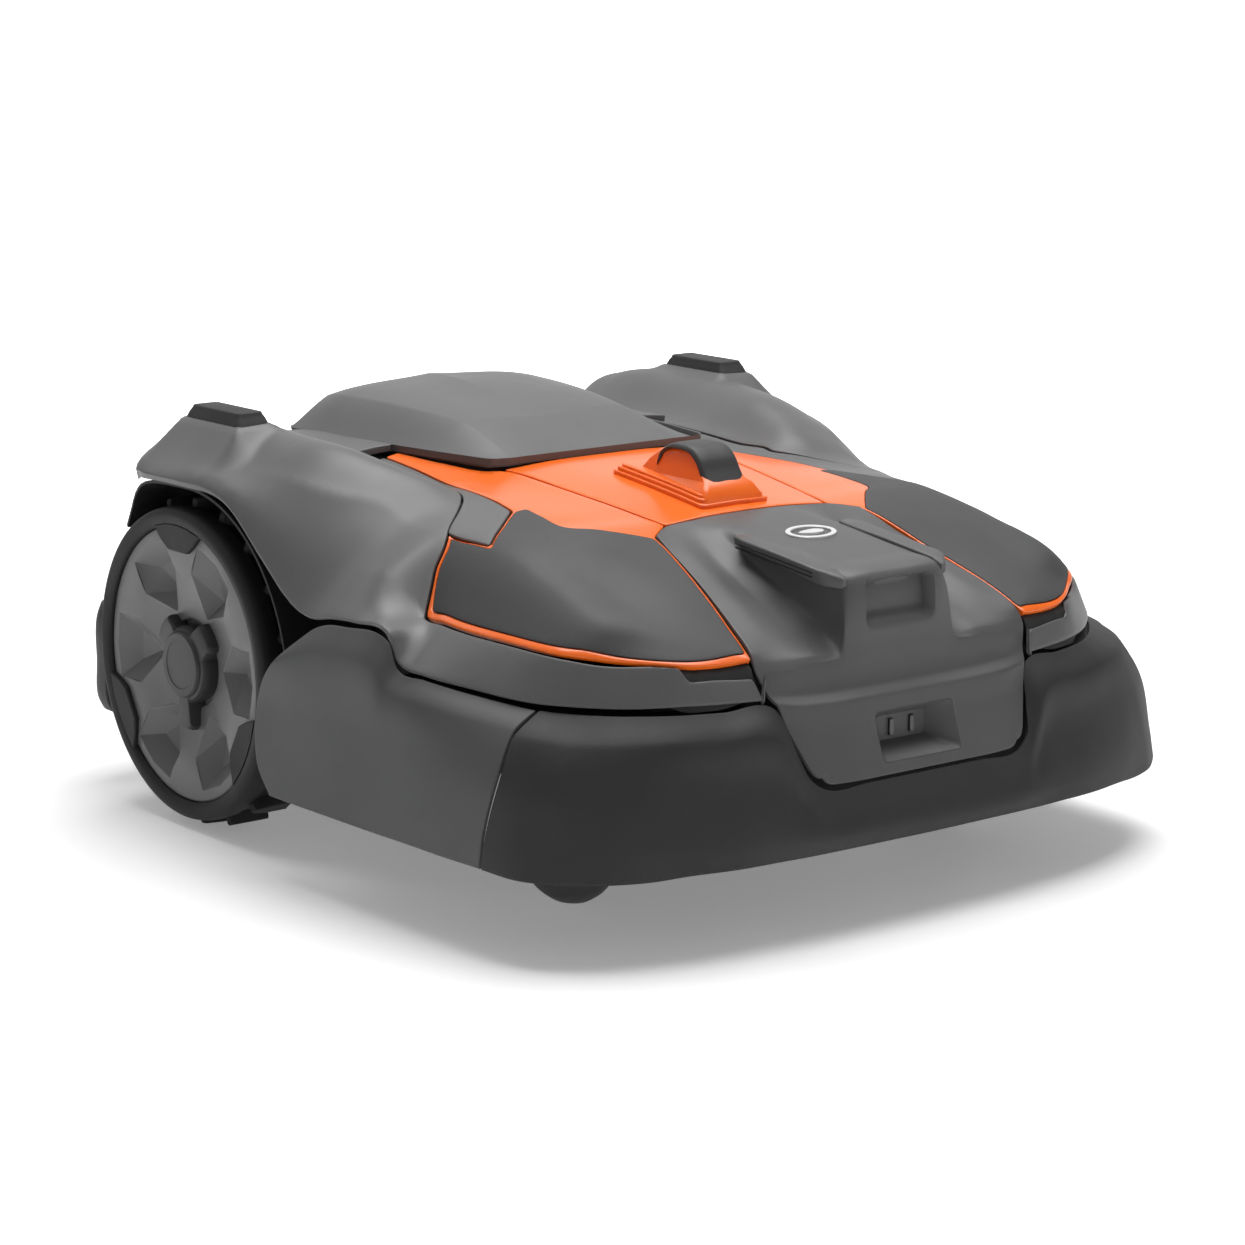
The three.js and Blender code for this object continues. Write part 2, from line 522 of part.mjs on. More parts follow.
// Arched liner over each rear wheel, with an inner wall open round the gear motor.
function wheelHousings() {
  const { y, radius } = WHEEL;
  const arc = (r, from, to, steps) => Array.from({ length: steps + 1 }, (_, i) => {
    const a = THREE.MathUtils.degToRad(from + ((to - from) * i) / steps);
    return [y - r * Math.cos(a), radius + r * Math.sin(a)];
  });
  const rearCorner = [[36, 155], [62, 153], [78, 148], [88, 139], [96, 124], [105, 107]];
  const rear = rearCorner.map(([dy, dz]) => [y + dy, radius + dz]);
  const liner = [...arc(radius + 11, 8, 88, 9), ...rear];
  const thinner = ([a, b]) => {
    const share = 1 - 3 / Math.hypot(a - y, b - radius);
    return [y + (a - y) * share, radius + (b - radius) * share];
  };
  const band = sidePrism([...liner, ...liner.map(thinner).reverse()], 231, 318);
  const wall = sidePrism([...arc(radius + 11, 0, 170, 14), ...arc(70, 170, 0, 10)], 230, 233);
  addPair('wheel_housing', join(band, wall), BLACK);
}

// Rubber grip pads on the fender plinths.
function gripPads() {
  const foot = { rect: [251.5, 285, 158, 246], at: 352.4 };
  const top = { rect: [255, 281.5, 164, 240], at: 363.5 };
  const pad = taper(foot, top, upright);
  addPair('grip_pad', pad, RUBBER);
}

// ---------------------------------------------------------------- running gear
function wheels() {
  const { radius, inner, outer, lugs, lugHeight, bead, y } = WHEEL;
  const core = radius - lugHeight;
  const rimRadius = bead - 0.5;
  const middle = (inner + outer) / 2;
  const half = (outer - inner) / 2;
  const centre = [middle, y, radius];
  const tyreProfile = [
    [bead, -half + 2], [core - 6, -half], [core, -half + 6], [core, half - 6], [core - 6, half],
    [bead, half - 4], [bead, -half + 2],
  ];
  const lugPieces = Array.from({ length: lugs }, (_, i) => {
    const lug = box(-9, 9, -half + 3, 9, core - 4, radius).rotateZ(-Math.PI / 2);
    const angle = (i * 2 * Math.PI) / lugs;
    return lug.rotateX(angle).translate(...centre);
  });
  addPair('tyre', join(turned(tyreProfile, 30, centre, 'x'), ...lugPieces), RUBBER);
  const rimProfile = [
    [0, -15], [46, -15], [108, -8], [113, -24], [rimRadius, -24], [rimRadius, 22], [112, 24], [100, 14],
    [52, 8], [0, 8],
  ];
  const rim = turned(rimProfile, 30, centre, 'x');
  const pocket = (i) => box(4, 30, -15, 15, 58, 92).rotateX(((i + 0.5) * Math.PI) / 3).translate(...centre);
  addPair('rim', cut(rim, ...Array.from({ length: 6 }, (_, i) => pocket(i))), GREY);
  const lobe = (i) => box(8.3, 20, -10, 10, -52, 0).rotateX((i * 2 * Math.PI) / 3).translate(...centre);
  const hubCore = turned([[0, 8.3], [34, 8.3], [34, 20], [28, 23], [0, 23]], 24, centre, 'x');
  const hubPiece = join(hubCore, ...[0, 1, 2].map(lobe));
  addPair('hub_cap', hubPiece, BLACK);
  const shaft = rod(V(262, y, radius), V(middle - 15.4, y, radius), 10);
  const motor = join(rod(V(158, y, radius), V(262, y, radius), 38), shaft);
  addPair('wheel_motor', motor, ALUMINIUM);
}

function casters() {
  const { x, swivelY, trail, radius, width } = CASTER;
  const axleY = swivelY + trail;
  const [near, far] = [x - width / 2, x + width / 2];
  const cheekOutline = [
    [swivelY - 20, 140], [swivelY - 20, 130], [axleY - 12, 58], [axleY, 51], [axleY + 12, 60],
    [swivelY + 26, 132], [swivelY + 22, 140],
  ];
  const fork = join(
    sidePrism(cheekOutline, near - 7, near - 3),
    sidePrism(cheekOutline, far + 3, far + 7),
    box(near - 7, far + 7, swivelY - 20, swivelY + 22, 131, 140),
    rod(V(x, swivelY, 139), V(x, swivelY, 182), 9, 16),
    rod(V(near - 6, axleY, radius), V(far + 6, axleY, radius), 5, 12),
  );
  addPair('caster_fork', fork, DARK_GREY);
  const half = width / 2;
  const profile = [
    [5.4, -half], [40, -half], [54, -half + 5], [60, -half + 13], [radius, 0], [60, half - 13],
    [54, half - 5], [40, half], [5.4, half], [5.4, -half],
  ];
  addPair('caster_wheel', turned(profile, 24, [x, axleY, radius], 'x'), DARK_GREY);
}

function chassis() {
  const { halfWidth: w, front, rear, floor, rim, wall } = CHASSIS;
  const { x, swivelY } = CASTER;
  const tub = (x0, x1, y0, y1, z0, z1) => [
    box(x0, x1, y0, y1, z0, z1),
    box(x0 + wall, x1 - wall, y0 + wall, y1 - wall, z0 + wall, z1 + 9),
  ];
  const [outerBack, innerBack] = tub(-w, w, front, rear, floor, rim);
  const [outerDeck, innerDeck] = tub(-262, 262, -306, front + 2, 148, 178);
  const boss = (side) => rod(V(side * x, swivelY, 149), V(side * x, swivelY, 176), 18, 20);
  const bore = (side) => rod(V(side * x, swivelY, 140), V(side * x, swivelY, 190), 9.6, 16);
  const motorHole = rod(V(-240, WHEEL.y, WHEEL.radius), V(240, WHEEL.y, WHEEL.radius), 39, 24);
  const cutterHole = rod(V(0, CUTTER.y, 80), V(0, CUTTER.y, 110), 46, 28);
  const shell = cut(join(outerBack, outerDeck), innerBack, innerDeck);
  add('chassis', cut(join(shell, boss(1), boss(-1)), bore(1), bore(-1), motorHole, cutterHole), BLACK);

  const [low, high] = [floor + wall + 0.4, 278];
  for (const [name, y] of [['front', -100], ['rear', 284]]) {
    const post = rod(V(196, y, low), V(196, y, high), 12, 16);
    addPair(`float_post_${name}`, join(post, rod(V(196, y, low), V(196, y, 110), 20, 16)), RUBBER);
  }
  addPair('battery_pack', box(20, 140, 80, 300, floor + wall + 0.5, 170), DARK_GREY);
  add('control_unit', box(-110, 110, 90, 290, 182, 198), BOARD);
}

// ---------------------------------------------------------------- cutting unit
function cutter() {
  const { y, discRadius, pivotRadius, blades, discZ } = CUTTER;
  const low = CHASSIS.floor + CHASSIS.wall + 0.4;
  const spindleY = y - 80;
  const plate = join(box(-68, 68, y - 50, y + 50, 138, 148), box(-16, 16, y - 94, y - 45, 138, 148));
  const holes = [
    rod(V(0, spindleY, 120), V(0, spindleY, 160), 6.4, 16),
    rod(V(0, y, 120), V(0, y, 160), 36.4, 28),
  ];
  add('cutting_carriage', cut(plate, ...holes), DARK_GREY);
  const spindle = rod(V(0, spindleY, low), V(0, spindleY, 214), 6, 16);
  add('height_spindle', join(spindle, rod(V(0, spindleY, 200), V(0, spindleY, 210), 14, 16)), STEEL);
  const flange = rod(V(0, y, 148.4), V(0, y, 152), 42, 28);
  add('cutting_motor', join(rod(V(0, y, 72), V(0, y, 176), 36, 28), flange), ALUMINIUM);

  const discProfile = [
    [0, discZ], [discRadius, discZ], [discRadius, discZ + 3], [40, discZ + 5], [16, discZ + 12],
    [9, discZ + 14], [9, 71.6], [0, 71.6],
  ];
  const around = (i) => (i * 2 * Math.PI) / blades + Math.PI / 2;
  const pivot = (i, z) => V(pivotRadius * Math.cos(around(i)), y + pivotRadius * Math.sin(around(i)), z);
  const pin = (i) => rod(pivot(i, discZ - 4), pivot(i, discZ + 1), 3, 12);
  const pins = Array.from({ length: blades }, (_, i) => pin(i));
  add('cutting_disc', join(turned(discProfile, 30, [0, y, 0]), ...pins), DARK_GREY);
  for (let i = 0; i < blades; i++) {
    const strip = prism([[-12, -9], [42, -9], [45, -5], [45, 5], [42, 9], [-12, 9]], discZ - 2.4, discZ - 1.2);
    const blade = cut(strip, rod(V(0, 0, 0), V(0, 0, 100), 3.5, 12));
    blade.rotateZ(around(i)).translate(...pivot(i, 0));
    add(`blade_${i + 1}`, blade, STEEL);
  }
  const skidProfile = [
    [0, discZ - 8], [70, discZ - 8], [82, discZ - 5], [82, discZ - 3], [12, discZ - 5], [8, discZ - 0.4],
    [0, discZ - 0.4],
  ];
  add('skid_plate', turned(skidProfile, 30, [0, y, 0]), DARK_GREY);
}

bodyPanels();
bodyFrame();
noseParts();
beacon();
topAndRear();
skirts();
wheelHousings();
gripPads();
wheels();
casters();
chassis();
cutter();

export default mower;
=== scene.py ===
# Robotic lawn mower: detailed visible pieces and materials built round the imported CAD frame.
import json
import math
import bmesh
import bpy
from mathutils import Vector, Matrix
from mathutils.bvhtree import BVHTree
from mathutils.kdtree import KDTree
from mathutils.geometry import delaunay_2d_cdt

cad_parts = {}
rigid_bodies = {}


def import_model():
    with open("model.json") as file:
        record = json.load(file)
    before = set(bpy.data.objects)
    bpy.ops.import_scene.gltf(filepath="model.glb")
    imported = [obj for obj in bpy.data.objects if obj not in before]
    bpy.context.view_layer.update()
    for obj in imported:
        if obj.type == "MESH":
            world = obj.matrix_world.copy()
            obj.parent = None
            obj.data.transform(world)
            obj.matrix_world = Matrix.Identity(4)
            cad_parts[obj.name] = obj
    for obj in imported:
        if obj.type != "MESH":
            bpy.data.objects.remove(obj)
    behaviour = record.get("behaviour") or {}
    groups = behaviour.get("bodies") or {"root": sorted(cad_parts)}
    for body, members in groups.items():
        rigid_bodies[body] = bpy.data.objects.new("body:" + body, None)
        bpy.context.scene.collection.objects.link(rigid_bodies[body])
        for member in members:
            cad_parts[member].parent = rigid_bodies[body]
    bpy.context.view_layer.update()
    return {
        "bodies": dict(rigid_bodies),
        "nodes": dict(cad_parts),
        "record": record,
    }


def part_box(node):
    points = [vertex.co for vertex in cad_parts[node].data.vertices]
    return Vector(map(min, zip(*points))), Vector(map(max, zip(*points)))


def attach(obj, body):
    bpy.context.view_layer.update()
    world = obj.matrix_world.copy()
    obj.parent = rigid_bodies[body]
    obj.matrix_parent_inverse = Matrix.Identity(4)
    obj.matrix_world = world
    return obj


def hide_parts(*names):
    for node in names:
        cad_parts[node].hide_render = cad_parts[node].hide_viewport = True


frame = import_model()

MM = 0.001
PANEL = 3.0          # wall thickness of the body panels, mm
GAP = 1.1            # half of the gap line between panels, mm
SPACING = 4.0        # mesh spacing of the panels, mm
RIM_STEP = 3         # every how many mm a panel's rim has a point
CAMERA_TURN = math.radians(-37.98)
CAMERA_TILT = math.radians(90 - 11.88)
scene = bpy.context.scene


# ---------- camera and light
def add_camera():
    cam = bpy.data.cameras.new("camera")
    cam.sensor_width = 36.0
    cam.lens = 101.78
    cam.clip_end = 50.0
    obj = bpy.data.objects.new("camera", cam)
    obj.location = (-1.8616, -2.3964, 0.8098)
    obj.rotation_euler = (CAMERA_TILT, 0.0, CAMERA_TURN)
    scene.collection.objects.link(obj)
    scene.camera = obj


def add_area(name, energy, size_x, size_y, location, target):
    light = bpy.data.lights.new(name, "AREA")
    light.energy = energy
    light.shape = "RECTANGLE"
    light.size = size_x
    light.size_y = size_y
    obj = bpy.data.objects.new(name, light)
    obj.location = location
    direction = Vector(target) - Vector(location)
    obj.rotation_euler = direction.to_track_quat("-Z", "Y").to_euler()
    scene.collection.objects.link(obj)
    return obj


add_camera()
add_area("key_top", 86, 2.4, 2.0, (0.4, 0.2, 2.5), (0, 0, 0.1))
add_area("fill_left", 1.5, 1.8, 1.4, (-2.6, -0.6, 1.5), (0, 0, 0.15))
add_area("front_soft", 4.0, 2.2, 1.2, (1.4, -3.0, 1.6), (0, 0, 0.1))
add_area("rear_fill", 12, 2.4, 1.2, (-0.6, 3.0, 2.2), (0, 0.3, 0.1))
sheen = add_area("sheen_back", 15, 3.6, 1.8, (1.75, 2.25, 0.95), (0, 0, 0.3))
sheen.visible_camera = False

scene.view_settings.view_transform = "Standard"
world = bpy.data.worlds.new("studio")
world.use_nodes = True
world.node_tree.nodes["Background"].inputs["Color"].default_value = (1, 1, 1, 1)
world.node_tree.nodes["Background"].inputs["Strength"].default_value = 0.2
scene.world = world


# ---------- materials
def node(tree, kind, **values):
    n = tree.nodes.new(kind)
    for key, value in values.items():
        if key in n.inputs:
            n.inputs[key].default_value = value
        else:
            setattr(n, key, value)
    return n


def ranged(tree, source, from_min, from_max, to_min, to_max):
    """Socket that carries the source socket from one range to another."""
    n = tree.nodes.new("ShaderNodeMapRange")
    n.inputs["From Min"].default_value = from_min
    n.inputs["From Max"].default_value = from_max
    n.inputs["To Min"].default_value = to_min
    n.inputs["To Max"].default_value = to_max
    tree.links.new(source, n.inputs["Value"])
    return n.outputs["Result"]


def product(tree, a, b):
    n = node(tree, "ShaderNodeMath", operation="MULTIPLY")
    tree.links.new(a, n.inputs[0])
    tree.links.new(b, n.inputs[1])
    return n.outputs[0]


def with_scratches(tree, place, height, amount):
    """The height socket with long streaks across it."""
    stretch = node(tree, "ShaderNodeMapping")
    stretch.inputs["Scale"].default_value = (1.0, 14.0, 14.0)
    streak = node(tree, "ShaderNodeTexNoise", Scale=60.0, Detail=2.0)
    mix = node(tree, "ShaderNodeMath", operation="MULTIPLY_ADD")
    mix.inputs[1].default_value = amount
    tree.links.new(place, stretch.inputs["Vector"])
    tree.links.new(stretch.outputs[0], streak.inputs["Vector"])
    tree.links.new(streak.outputs["Fac"], mix.inputs[0])
    tree.links.new(height, mix.inputs[2])
    return mix.outputs[0]


def surface_material(name, color, rough, grain=700.0, bump=0.12, mottle=0.06, wear=0.12,
                     rough_range=0.08, metallic=0.0, coat=0.0, scratch=0.0):
    """Moulded or painted finish: fine grain bump, slow mottling, lighter worn edges, uneven gloss."""
    mat = bpy.data.materials.new(name)
    mat.use_nodes = True
    tree = mat.node_tree
    link = tree.links.new
    bsdf = tree.nodes["Principled BSDF"]
    bsdf.inputs["Metallic"].default_value = metallic
    bsdf.inputs["Coat Weight"].default_value = coat
    bsdf.inputs["Coat Roughness"].default_value = 0.12

    place = tree.nodes.new("ShaderNodeTexCoord").outputs["Object"]
    fine_noise = node(tree, "ShaderNodeTexNoise", Scale=grain, Detail=3.0, Roughness=0.6)
    slow_noise = node(tree, "ShaderNodeTexNoise", Scale=9.0, Detail=4.0, Roughness=0.55)
    link(place, fine_noise.inputs["Vector"])
    link(place, slow_noise.inputs["Vector"])
    fine, slow = fine_noise.outputs["Fac"], slow_noise.outputs["Fac"]
    edge = tree.nodes.new("ShaderNodeNewGeometry").outputs["Pointiness"]

    shade = ranged(tree, slow, 0.3, 0.7, 1.0 - mottle, 1.0 + mottle)
    speck = ranged(tree, fine, 0.25, 0.75, 1.0 - mottle * 0.8, 1.0 + mottle * 0.8)
    rub = ranged(tree, edge, 0.54, 0.66, 1.0, 1.0 + wear * 2.0)
    paint = node(tree, "ShaderNodeVectorMath", operation="SCALE")
    paint.inputs[0].default_value = color
    link(product(tree, product(tree, shade, speck), rub), paint.inputs["Scale"])
    link(paint.outputs[0], bsdf.inputs["Base Color"])

    gloss = ranged(tree, slow, 0.3, 0.7, max(0.03, rough - rough_range), min(1.0, rough + rough_range))
    link(gloss, bsdf.inputs["Roughness"])

    relief = node(tree, "ShaderNodeBump", Strength=bump, Distance=0.0004)
    link(with_scratches(tree, place, fine, scratch) if scratch else fine, relief.inputs["Height"])
    link(relief.outputs[0], bsdf.inputs["Normal"])
    return mat


# One look for each material slot, and a few pieces with a look of their own.
LOOKS = {
    "body_grey": surface_material("shell_grey", (0.098, 0.098, 0.099), 0.46, bump=0.16),
    "panel_grey": surface_material("panel_grey", (0.042, 0.042, 0.043), 0.66, grain=900, bump=0.3,
                                   wear=0.04),
    "skirt_grey": surface_material("skirt_grey", (0.062, 0.062, 0.063), 0.55, bump=0.22),
    "bumper_black": surface_material("bumper_black", (0.016, 0.016, 0.0165), 0.6, bump=0.3, wear=0.2),
    "black_plastic": surface_material("inner_black", (0.006, 0.006, 0.006), 0.7, bump=0.2),
    "dark_plastic": surface_material("dark_plastic", (0.032, 0.032, 0.033), 0.5, bump=0.25),
    "caster_plastic": surface_material("caster_plastic", (0.05, 0.05, 0.052), 0.58, bump=0.3, wear=0.3),
    "button_black": surface_material("button_black", (0.03, 0.03, 0.031), 0.55, grain=600, bump=0.4),
    "orange_gloss": surface_material("orange_gloss", (0.9, 0.145, 0.007), 0.3, grain=260, bump=0.02,
                                     mottle=0.015, wear=0.02, rough_range=0.04, coat=0.2),
    "rim_grey": surface_material("rim_grey", (0.12, 0.12, 0.122), 0.42, bump=0.15),
    "black_rubber": surface_material("pad_rubber", (0.022, 0.022, 0.023), 0.72, grain=500, bump=0.5),
    "tyre_rubber": surface_material("tyre_rubber", (0.008, 0.008, 0.0082), 0.66, grain=450, bump=0.5,
                                    wear=0.3),
    "steel": surface_material("steel", (0.55, 0.56, 0.57), 0.3, grain=300, bump=0.08, metallic=1.0,
                              scratch=1.5),
    "cast_aluminium": surface_material("cast_aluminium", (0.42, 0.43, 0.44), 0.48, grain=400,
                                       bump=0.35, metallic=1.0),
    "silver_trim": surface_material("silver_trim", (0.72, 0.72, 0.72), 0.32, grain=500, bump=0.05,
                                    metallic=0.35),
    "circuit_board": surface_material("circuit_board", (0.02, 0.1, 0.045), 0.45, grain=150, bump=0.4),
}
# The nose's pieces get the shell grey darkened: painted shade for the light falling off towards the front.
NOSE_SHADED_GREY = surface_material("nose_shaded_grey", (0.078, 0.078, 0.079), 0.5, bump=0.16)
HOUSING_BLACK = surface_material("housing_black", (0.012, 0.012, 0.012), 0.65, bump=0.25)
CONTACT_METAL = surface_material("contact_metal", (0.11, 0.11, 0.11), 0.42, grain=300, bump=0.08,
                                 metallic=1.0)
for row in frame["record"]["subparts"]:
    cad = frame["nodes"][row["node"]]
    cad.data.materials.clear()
    cad.data.materials.append(LOOKS[row["material_slot"]])


# ---------- curves and surfaces (mm)
def span(before, a, b, after, soft_a, soft_b, steps):
    """Points of a curve from a up to b. before and after are the directions of the neighbouring chords."""
    chord = (b - a).normalized()
    length = (b - a).length
    start = chord.lerp((before + chord).normalized(), soft_a) * length
    end = chord.lerp((after + chord).normalized(), soft_b) * length
    out = []
    for k in range(steps):
        t = k / steps
        out.append(a * (2 * t**3 - 3 * t**2 + 1) + start * (t**3 - 2 * t**2 + t)
                   + b * (-2 * t**3 + 3 * t**2) + end * (t**3 - t**2))
    return out


def smooth(through, steps, soft=None):
    """Curve through points; steps[i] spans in gap i; soft[i] is 1 where it rounds a point, 0 at a corner."""
    out = []
    last = len(through) - 1
    soft = soft or [1.0] * len(through)
    for i in range(last):
        a, b = through[i], through[i + 1]
        chord = (b - a).normalized()
        before = (a - through[i - 1]).normalized() if i > 0 else chord
        after = (through[i + 2] - b).normalized() if i < last - 1 else chord
        out += span(before, a, b, after, soft[i], soft[i + 1], steps[i])
    out.append(through[-1].copy())
    return out


def steps_for(rows, spacing):
    """Spans for each gap between neighbours, from the longest chord over all the rows."""
    return [max(2, math.ceil(max((row[i + 1] - row[i]).length for row in rows) / spacing))
            for i in range(len(rows[0]) - 1)]


def surface(stations, spacing=2.5, soft_across=None, soft_along=None):
    """Dense grid over a surface given by stations, each a row of control points."""
    stations = [[Vector(p) for p in s] for s in stations]
    columns = [list(column) for column in zip(*stations)]
    along = steps_for(columns, spacing)
    dense = [smooth(column, along, soft_along) for column in columns]
    rows = [list(row) for row in zip(*dense)]
    across = steps_for(rows, spacing)
    soft = soft_across if callable(soft_across) else lambda row: soft_across
    return [smooth(row, across, soft(row)) for row in rows]


def ramp(value):
    """0 below 0 and 1 above 1, with a soft step between."""
    t = min(max(value, 0.0), 1.0)
    return t * t * (3 - 2 * t)


def mirror(p):
    return Vector((-p.x, p.y, p.z))


def both_sides(grid):
    return [[mirror(p) for p in reversed(row[1:])] + row for row in grid]


def both_ends(grid):
    return [[mirror(p) for p in row] for row in reversed(grid[1:])] + grid


# ---------- mesh building
def make(name, solid, slot, body="upper_body", look=None, bevel=0.0, segments=3, angle=40, sharp=38):
    """A finished piece, in place of the CAD node of its name if there is one.

    solid is verts in mm, faces and, for a sheet, the rim edges, which alone get the bevel.
    """
    verts, faces, *rim = solid
    mesh = bpy.data.meshes.new(name)
    mesh.from_pydata([v * MM for v in verts], [], faces)
    mesh.validate()
    obj = bpy.data.objects.new(name, mesh)
    scene.collection.objects.link(obj)
    mesh.materials.append(look or LOOKS[slot])
    if bevel:
        mod = obj.modifiers.new("edges", "BEVEL")
        mod.width = bevel * MM
        mod.segments = segments
        mod.limit_method = "WEIGHT" if rim else "ANGLE"
        mod.angle_limit = math.radians(angle)
        if rim:
            weight = mesh.attributes.new("bevel_weight_edge", "FLOAT", "EDGE")
            for i, edge in enumerate(mesh.edges):
                if tuple(sorted(edge.vertices)) in rim[0]:
                    weight.data[i].value = 1.0
        apply_modifiers(obj)
    obj.data.shade_smooth()
    obj.data.set_sharp_from_angle(angle=math.radians(sharp))
    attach(obj, body)
    if name in frame["nodes"]:
        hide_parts(name)
    return obj


def apply_modifiers(obj):
    graph = bpy.context.evaluated_depsgraph_get()
    mesh = bpy.data.meshes.new_from_object(obj.evaluated_get(graph))
    obj.modifiers.clear()
    obj.data = mesh


def pair(name, solid, slot, body="upper_body", **options):
    """The left piece and its mirror image. A body that exists once per side gets its suffix."""
    verts, faces, *rim = solid
    mirrored = ([mirror(v) for v in verts], [tuple(reversed(f)) for f in faces], *rim)
    for side, shape in (("left", solid), ("right", mirrored)):
        own = f"{body}_{side}"
        make(f"{name}_{side}", shape, slot, own if own in frame["bodies"] else body, **options)


def oriented(verts, faces):
    """The faces, turned over if the closed mesh they make is inside out."""
    volume = 0.0
    for f in faces:
        for k in range(1, len(f) - 1):
            volume += verts[f[0]].dot(verts[f[k]].cross(verts[f[k + 1]]))
    return faces if volume > 0 else [tuple(reversed(f)) for f in faces]


def gather(parts):
    """Several closed meshes as one."""
    verts, faces = [], []
    for v, f in parts:
        faces += [tuple(i + len(verts) for i in face) for face in f]
        verts += v
    return verts, faces


def open_edges(faces):
    """Edges that only one face uses, in that face's direction."""
    users = {}
    for face in faces:
        for a, b in zip(face, face[1:] + face[:1]):
            users.setdefault((min(a, b), max(a, b)), []).append((a, b))
    return [edges[0] for edges in users.values() if len(edges) == 1]


def grid_normal(grid):
    """Function giving the local surface normal at a grid point."""
    def at(r, c):
        return grid[min(max(r, 0), len(grid) - 1)][min(max(c, 0), len(grid[0]) - 1)]

    def normal(r, c):
        across = at(r, c + 1) - at(r, c - 1)
        along = at(r + 1, c) - at(r - 1, c)
        return across.cross(along).normalized()
    return normal


def grid_faces(grid):
    cols = len(grid[0])
    return [(r * cols + c, r * cols + c + 1, (r + 1) * cols + c + 1, (r + 1) * cols + c)
            for r in range(len(grid) - 1) for c in range(cols - 1)]


def shell(grid, depth, outward):
    """Closed sheet of even thickness, on the side away from the outward hint, with its rim edges."""
    rows, cols = len(grid), len(grid[0])
    normal = grid_normal(grid)
    inward = -depth if normal(rows // 2, cols // 2).dot(Vector(outward)) > 0 else depth
    near = [p for row in grid for p in row]
    far = [p + normal(r, c) * inward for r, row in enumerate(grid) for c, p in enumerate(row)]
    shift = rows * cols
    faces = []
    for face in grid_faces(grid):
        faces += [face, tuple(shift + i for i in reversed(face))]
    rim = [(0, c) for c in range(cols)] + [(r, cols - 1) for r in range(1, rows)]
    rim += [(rows - 1, c) for c in range(cols - 2, -1, -1)] + [(r, 0) for r in range(rows - 2, 0, -1)]
    ids = [r * cols + c for r, c in rim]
    edges = set()
    for a, b in zip(ids, ids[1:] + ids[:1]):
        faces.append((b, a, shift + a, shift + b))
        edges.add((min(a, b), max(a, b)))
    return near + far, oriented(near + far, faces), edges


def loft(rings, looped=False):
    """Closed solid through rings of equal point count, capped at both ends or looped back."""
    n, m = len(rings[0]), len(rings)
    verts = [p for ring in rings for p in ring]
    faces = []
    for k in range(m if looped else m - 1):
        here, there = k * n, (k + 1) % m * n
        for i in range(n):
            j = (i + 1) % n
            faces.append((here + i, here + j, there + j, there + i))
    if not looped:
        faces += [tuple(reversed(range(n))), tuple(range((m - 1) * n, m * n))]
    return verts, oriented(verts, faces)


def rounded(x0, x1, y0, y1, r, steps=5):
    """Rounded rectangle as (x, y) pairs."""
    out = []
    x0, x1, y0, y1 = x0 + r, x1 - r, y0 + r, y1 - r
    for cx, cy, start in ((x1, y1, 0), (x0, y1, 90), (x0, y0, 180), (x1, y0, 270)):
        for k in range(steps + 1):
            a = math.radians(start + 90 * k / steps)
            out.append((cx + r * math.cos(a), cy + r * math.sin(a)))
    return out


def level(z, *rectangle):
    """Ring round a rectangle (x0, x1, y0, y1, r) at height z."""
    return [Vector((x, y, z)) for x, y in rounded(*rectangle)]


def facing(y, x0, x1, z0, z1, r, steps=4):
    """Upright ring round a rectangle that faces the front."""
    return [Vector((x, y, z)) for x, z in rounded(x0, x1, z0, z1, r, steps)]


# ---------- plan outlines and lifted panels
def blurred(path, blur):
    """The closed path with each point averaged over its neighbours, which rounds the corners."""
    reach = math.ceil(3 * blur)
    weights = [math.exp(-0.5 * (k / blur) ** 2) for k in range(-reach, reach + 1)]
    total = sum(weights)
    m = len(path)
    return [sum((path[(i + k - reach) % m] * w for k, w in enumerate(weights)), Vector((0, 0))) / total
            for i in range(m)]


def outline(points, blur=2.0):
    """Closed plan curve. A point (x, y) is rounded through; (x, y, 0) is a corner, softened by blur mm."""
    n = len(points)
    place = [Vector((p[0], p[1])) for p in points]
    soft = [0.0 if len(p) > 2 else 1.0 for p in points]
    dense = []
    for i in range(n):
        before, a, b, after = (place[(i + k) % n] for k in (-1, 0, 1, 2))
        steps = max(1, round((b - a).length))
        before, after = (a - before).normalized(), (after - b).normalized()
        dense += span(before, a, b, after, soft[i], soft[(i + 1) % n], steps)
    return blurred(dense, blur)


def resampled(loop, blur):
    """The closed polygon with a point about every mm, its corners softened by blur mm."""
    out = []
    for a, b in zip(loop, loop[1:] + loop[:1]):
        steps = max(1, round((b - a).length))
        out.extend(a.lerp(b, k / steps) for k in range(steps))
    return blurred(out, blur)


def corners(points, *which):
    """The points, with those at the given places marked as corners."""
    marked = {i % len(points) for i in which}
    return [(*p, 0) if i in marked else p for i, p in enumerate(points)]


def nearest(path, spot):
    return min(range(len(path)), key=lambda i: (path[i] - Vector(spot)).length)


def area(curve):
    return 0.5 * sum(a.x * b.y - b.x * a.y for a, b in zip(curve, curve[1:] + curve[:1]))


def offset(curve, distance):
    """The closed curve moved inwards by distance."""
    turn = 1.0 if area(curve) > 0 else -1.0
    m = len(curve)
    out = []
    for i in range(m):
        d = (curve[(i + 2) % m] - curve[i - 2]).normalized()
        out.append(curve[i] + Vector((-d.y, d.x)) * turn * distance)
    return out


def crossings(path, y):
    """The x of each place where the closed path crosses the line at y."""
    return [(b.x - a.x) * (y - a.y) / (b.y - a.y) + a.x
            for a, b in zip(path, path[1:] + path[:1]) if (a.y > y) != (b.y > y)]


def enclosed(crossed, x):
    """True where x lies inside a path that crosses its line at the given places."""
    return sum(c > x for c in crossed) % 2 == 1


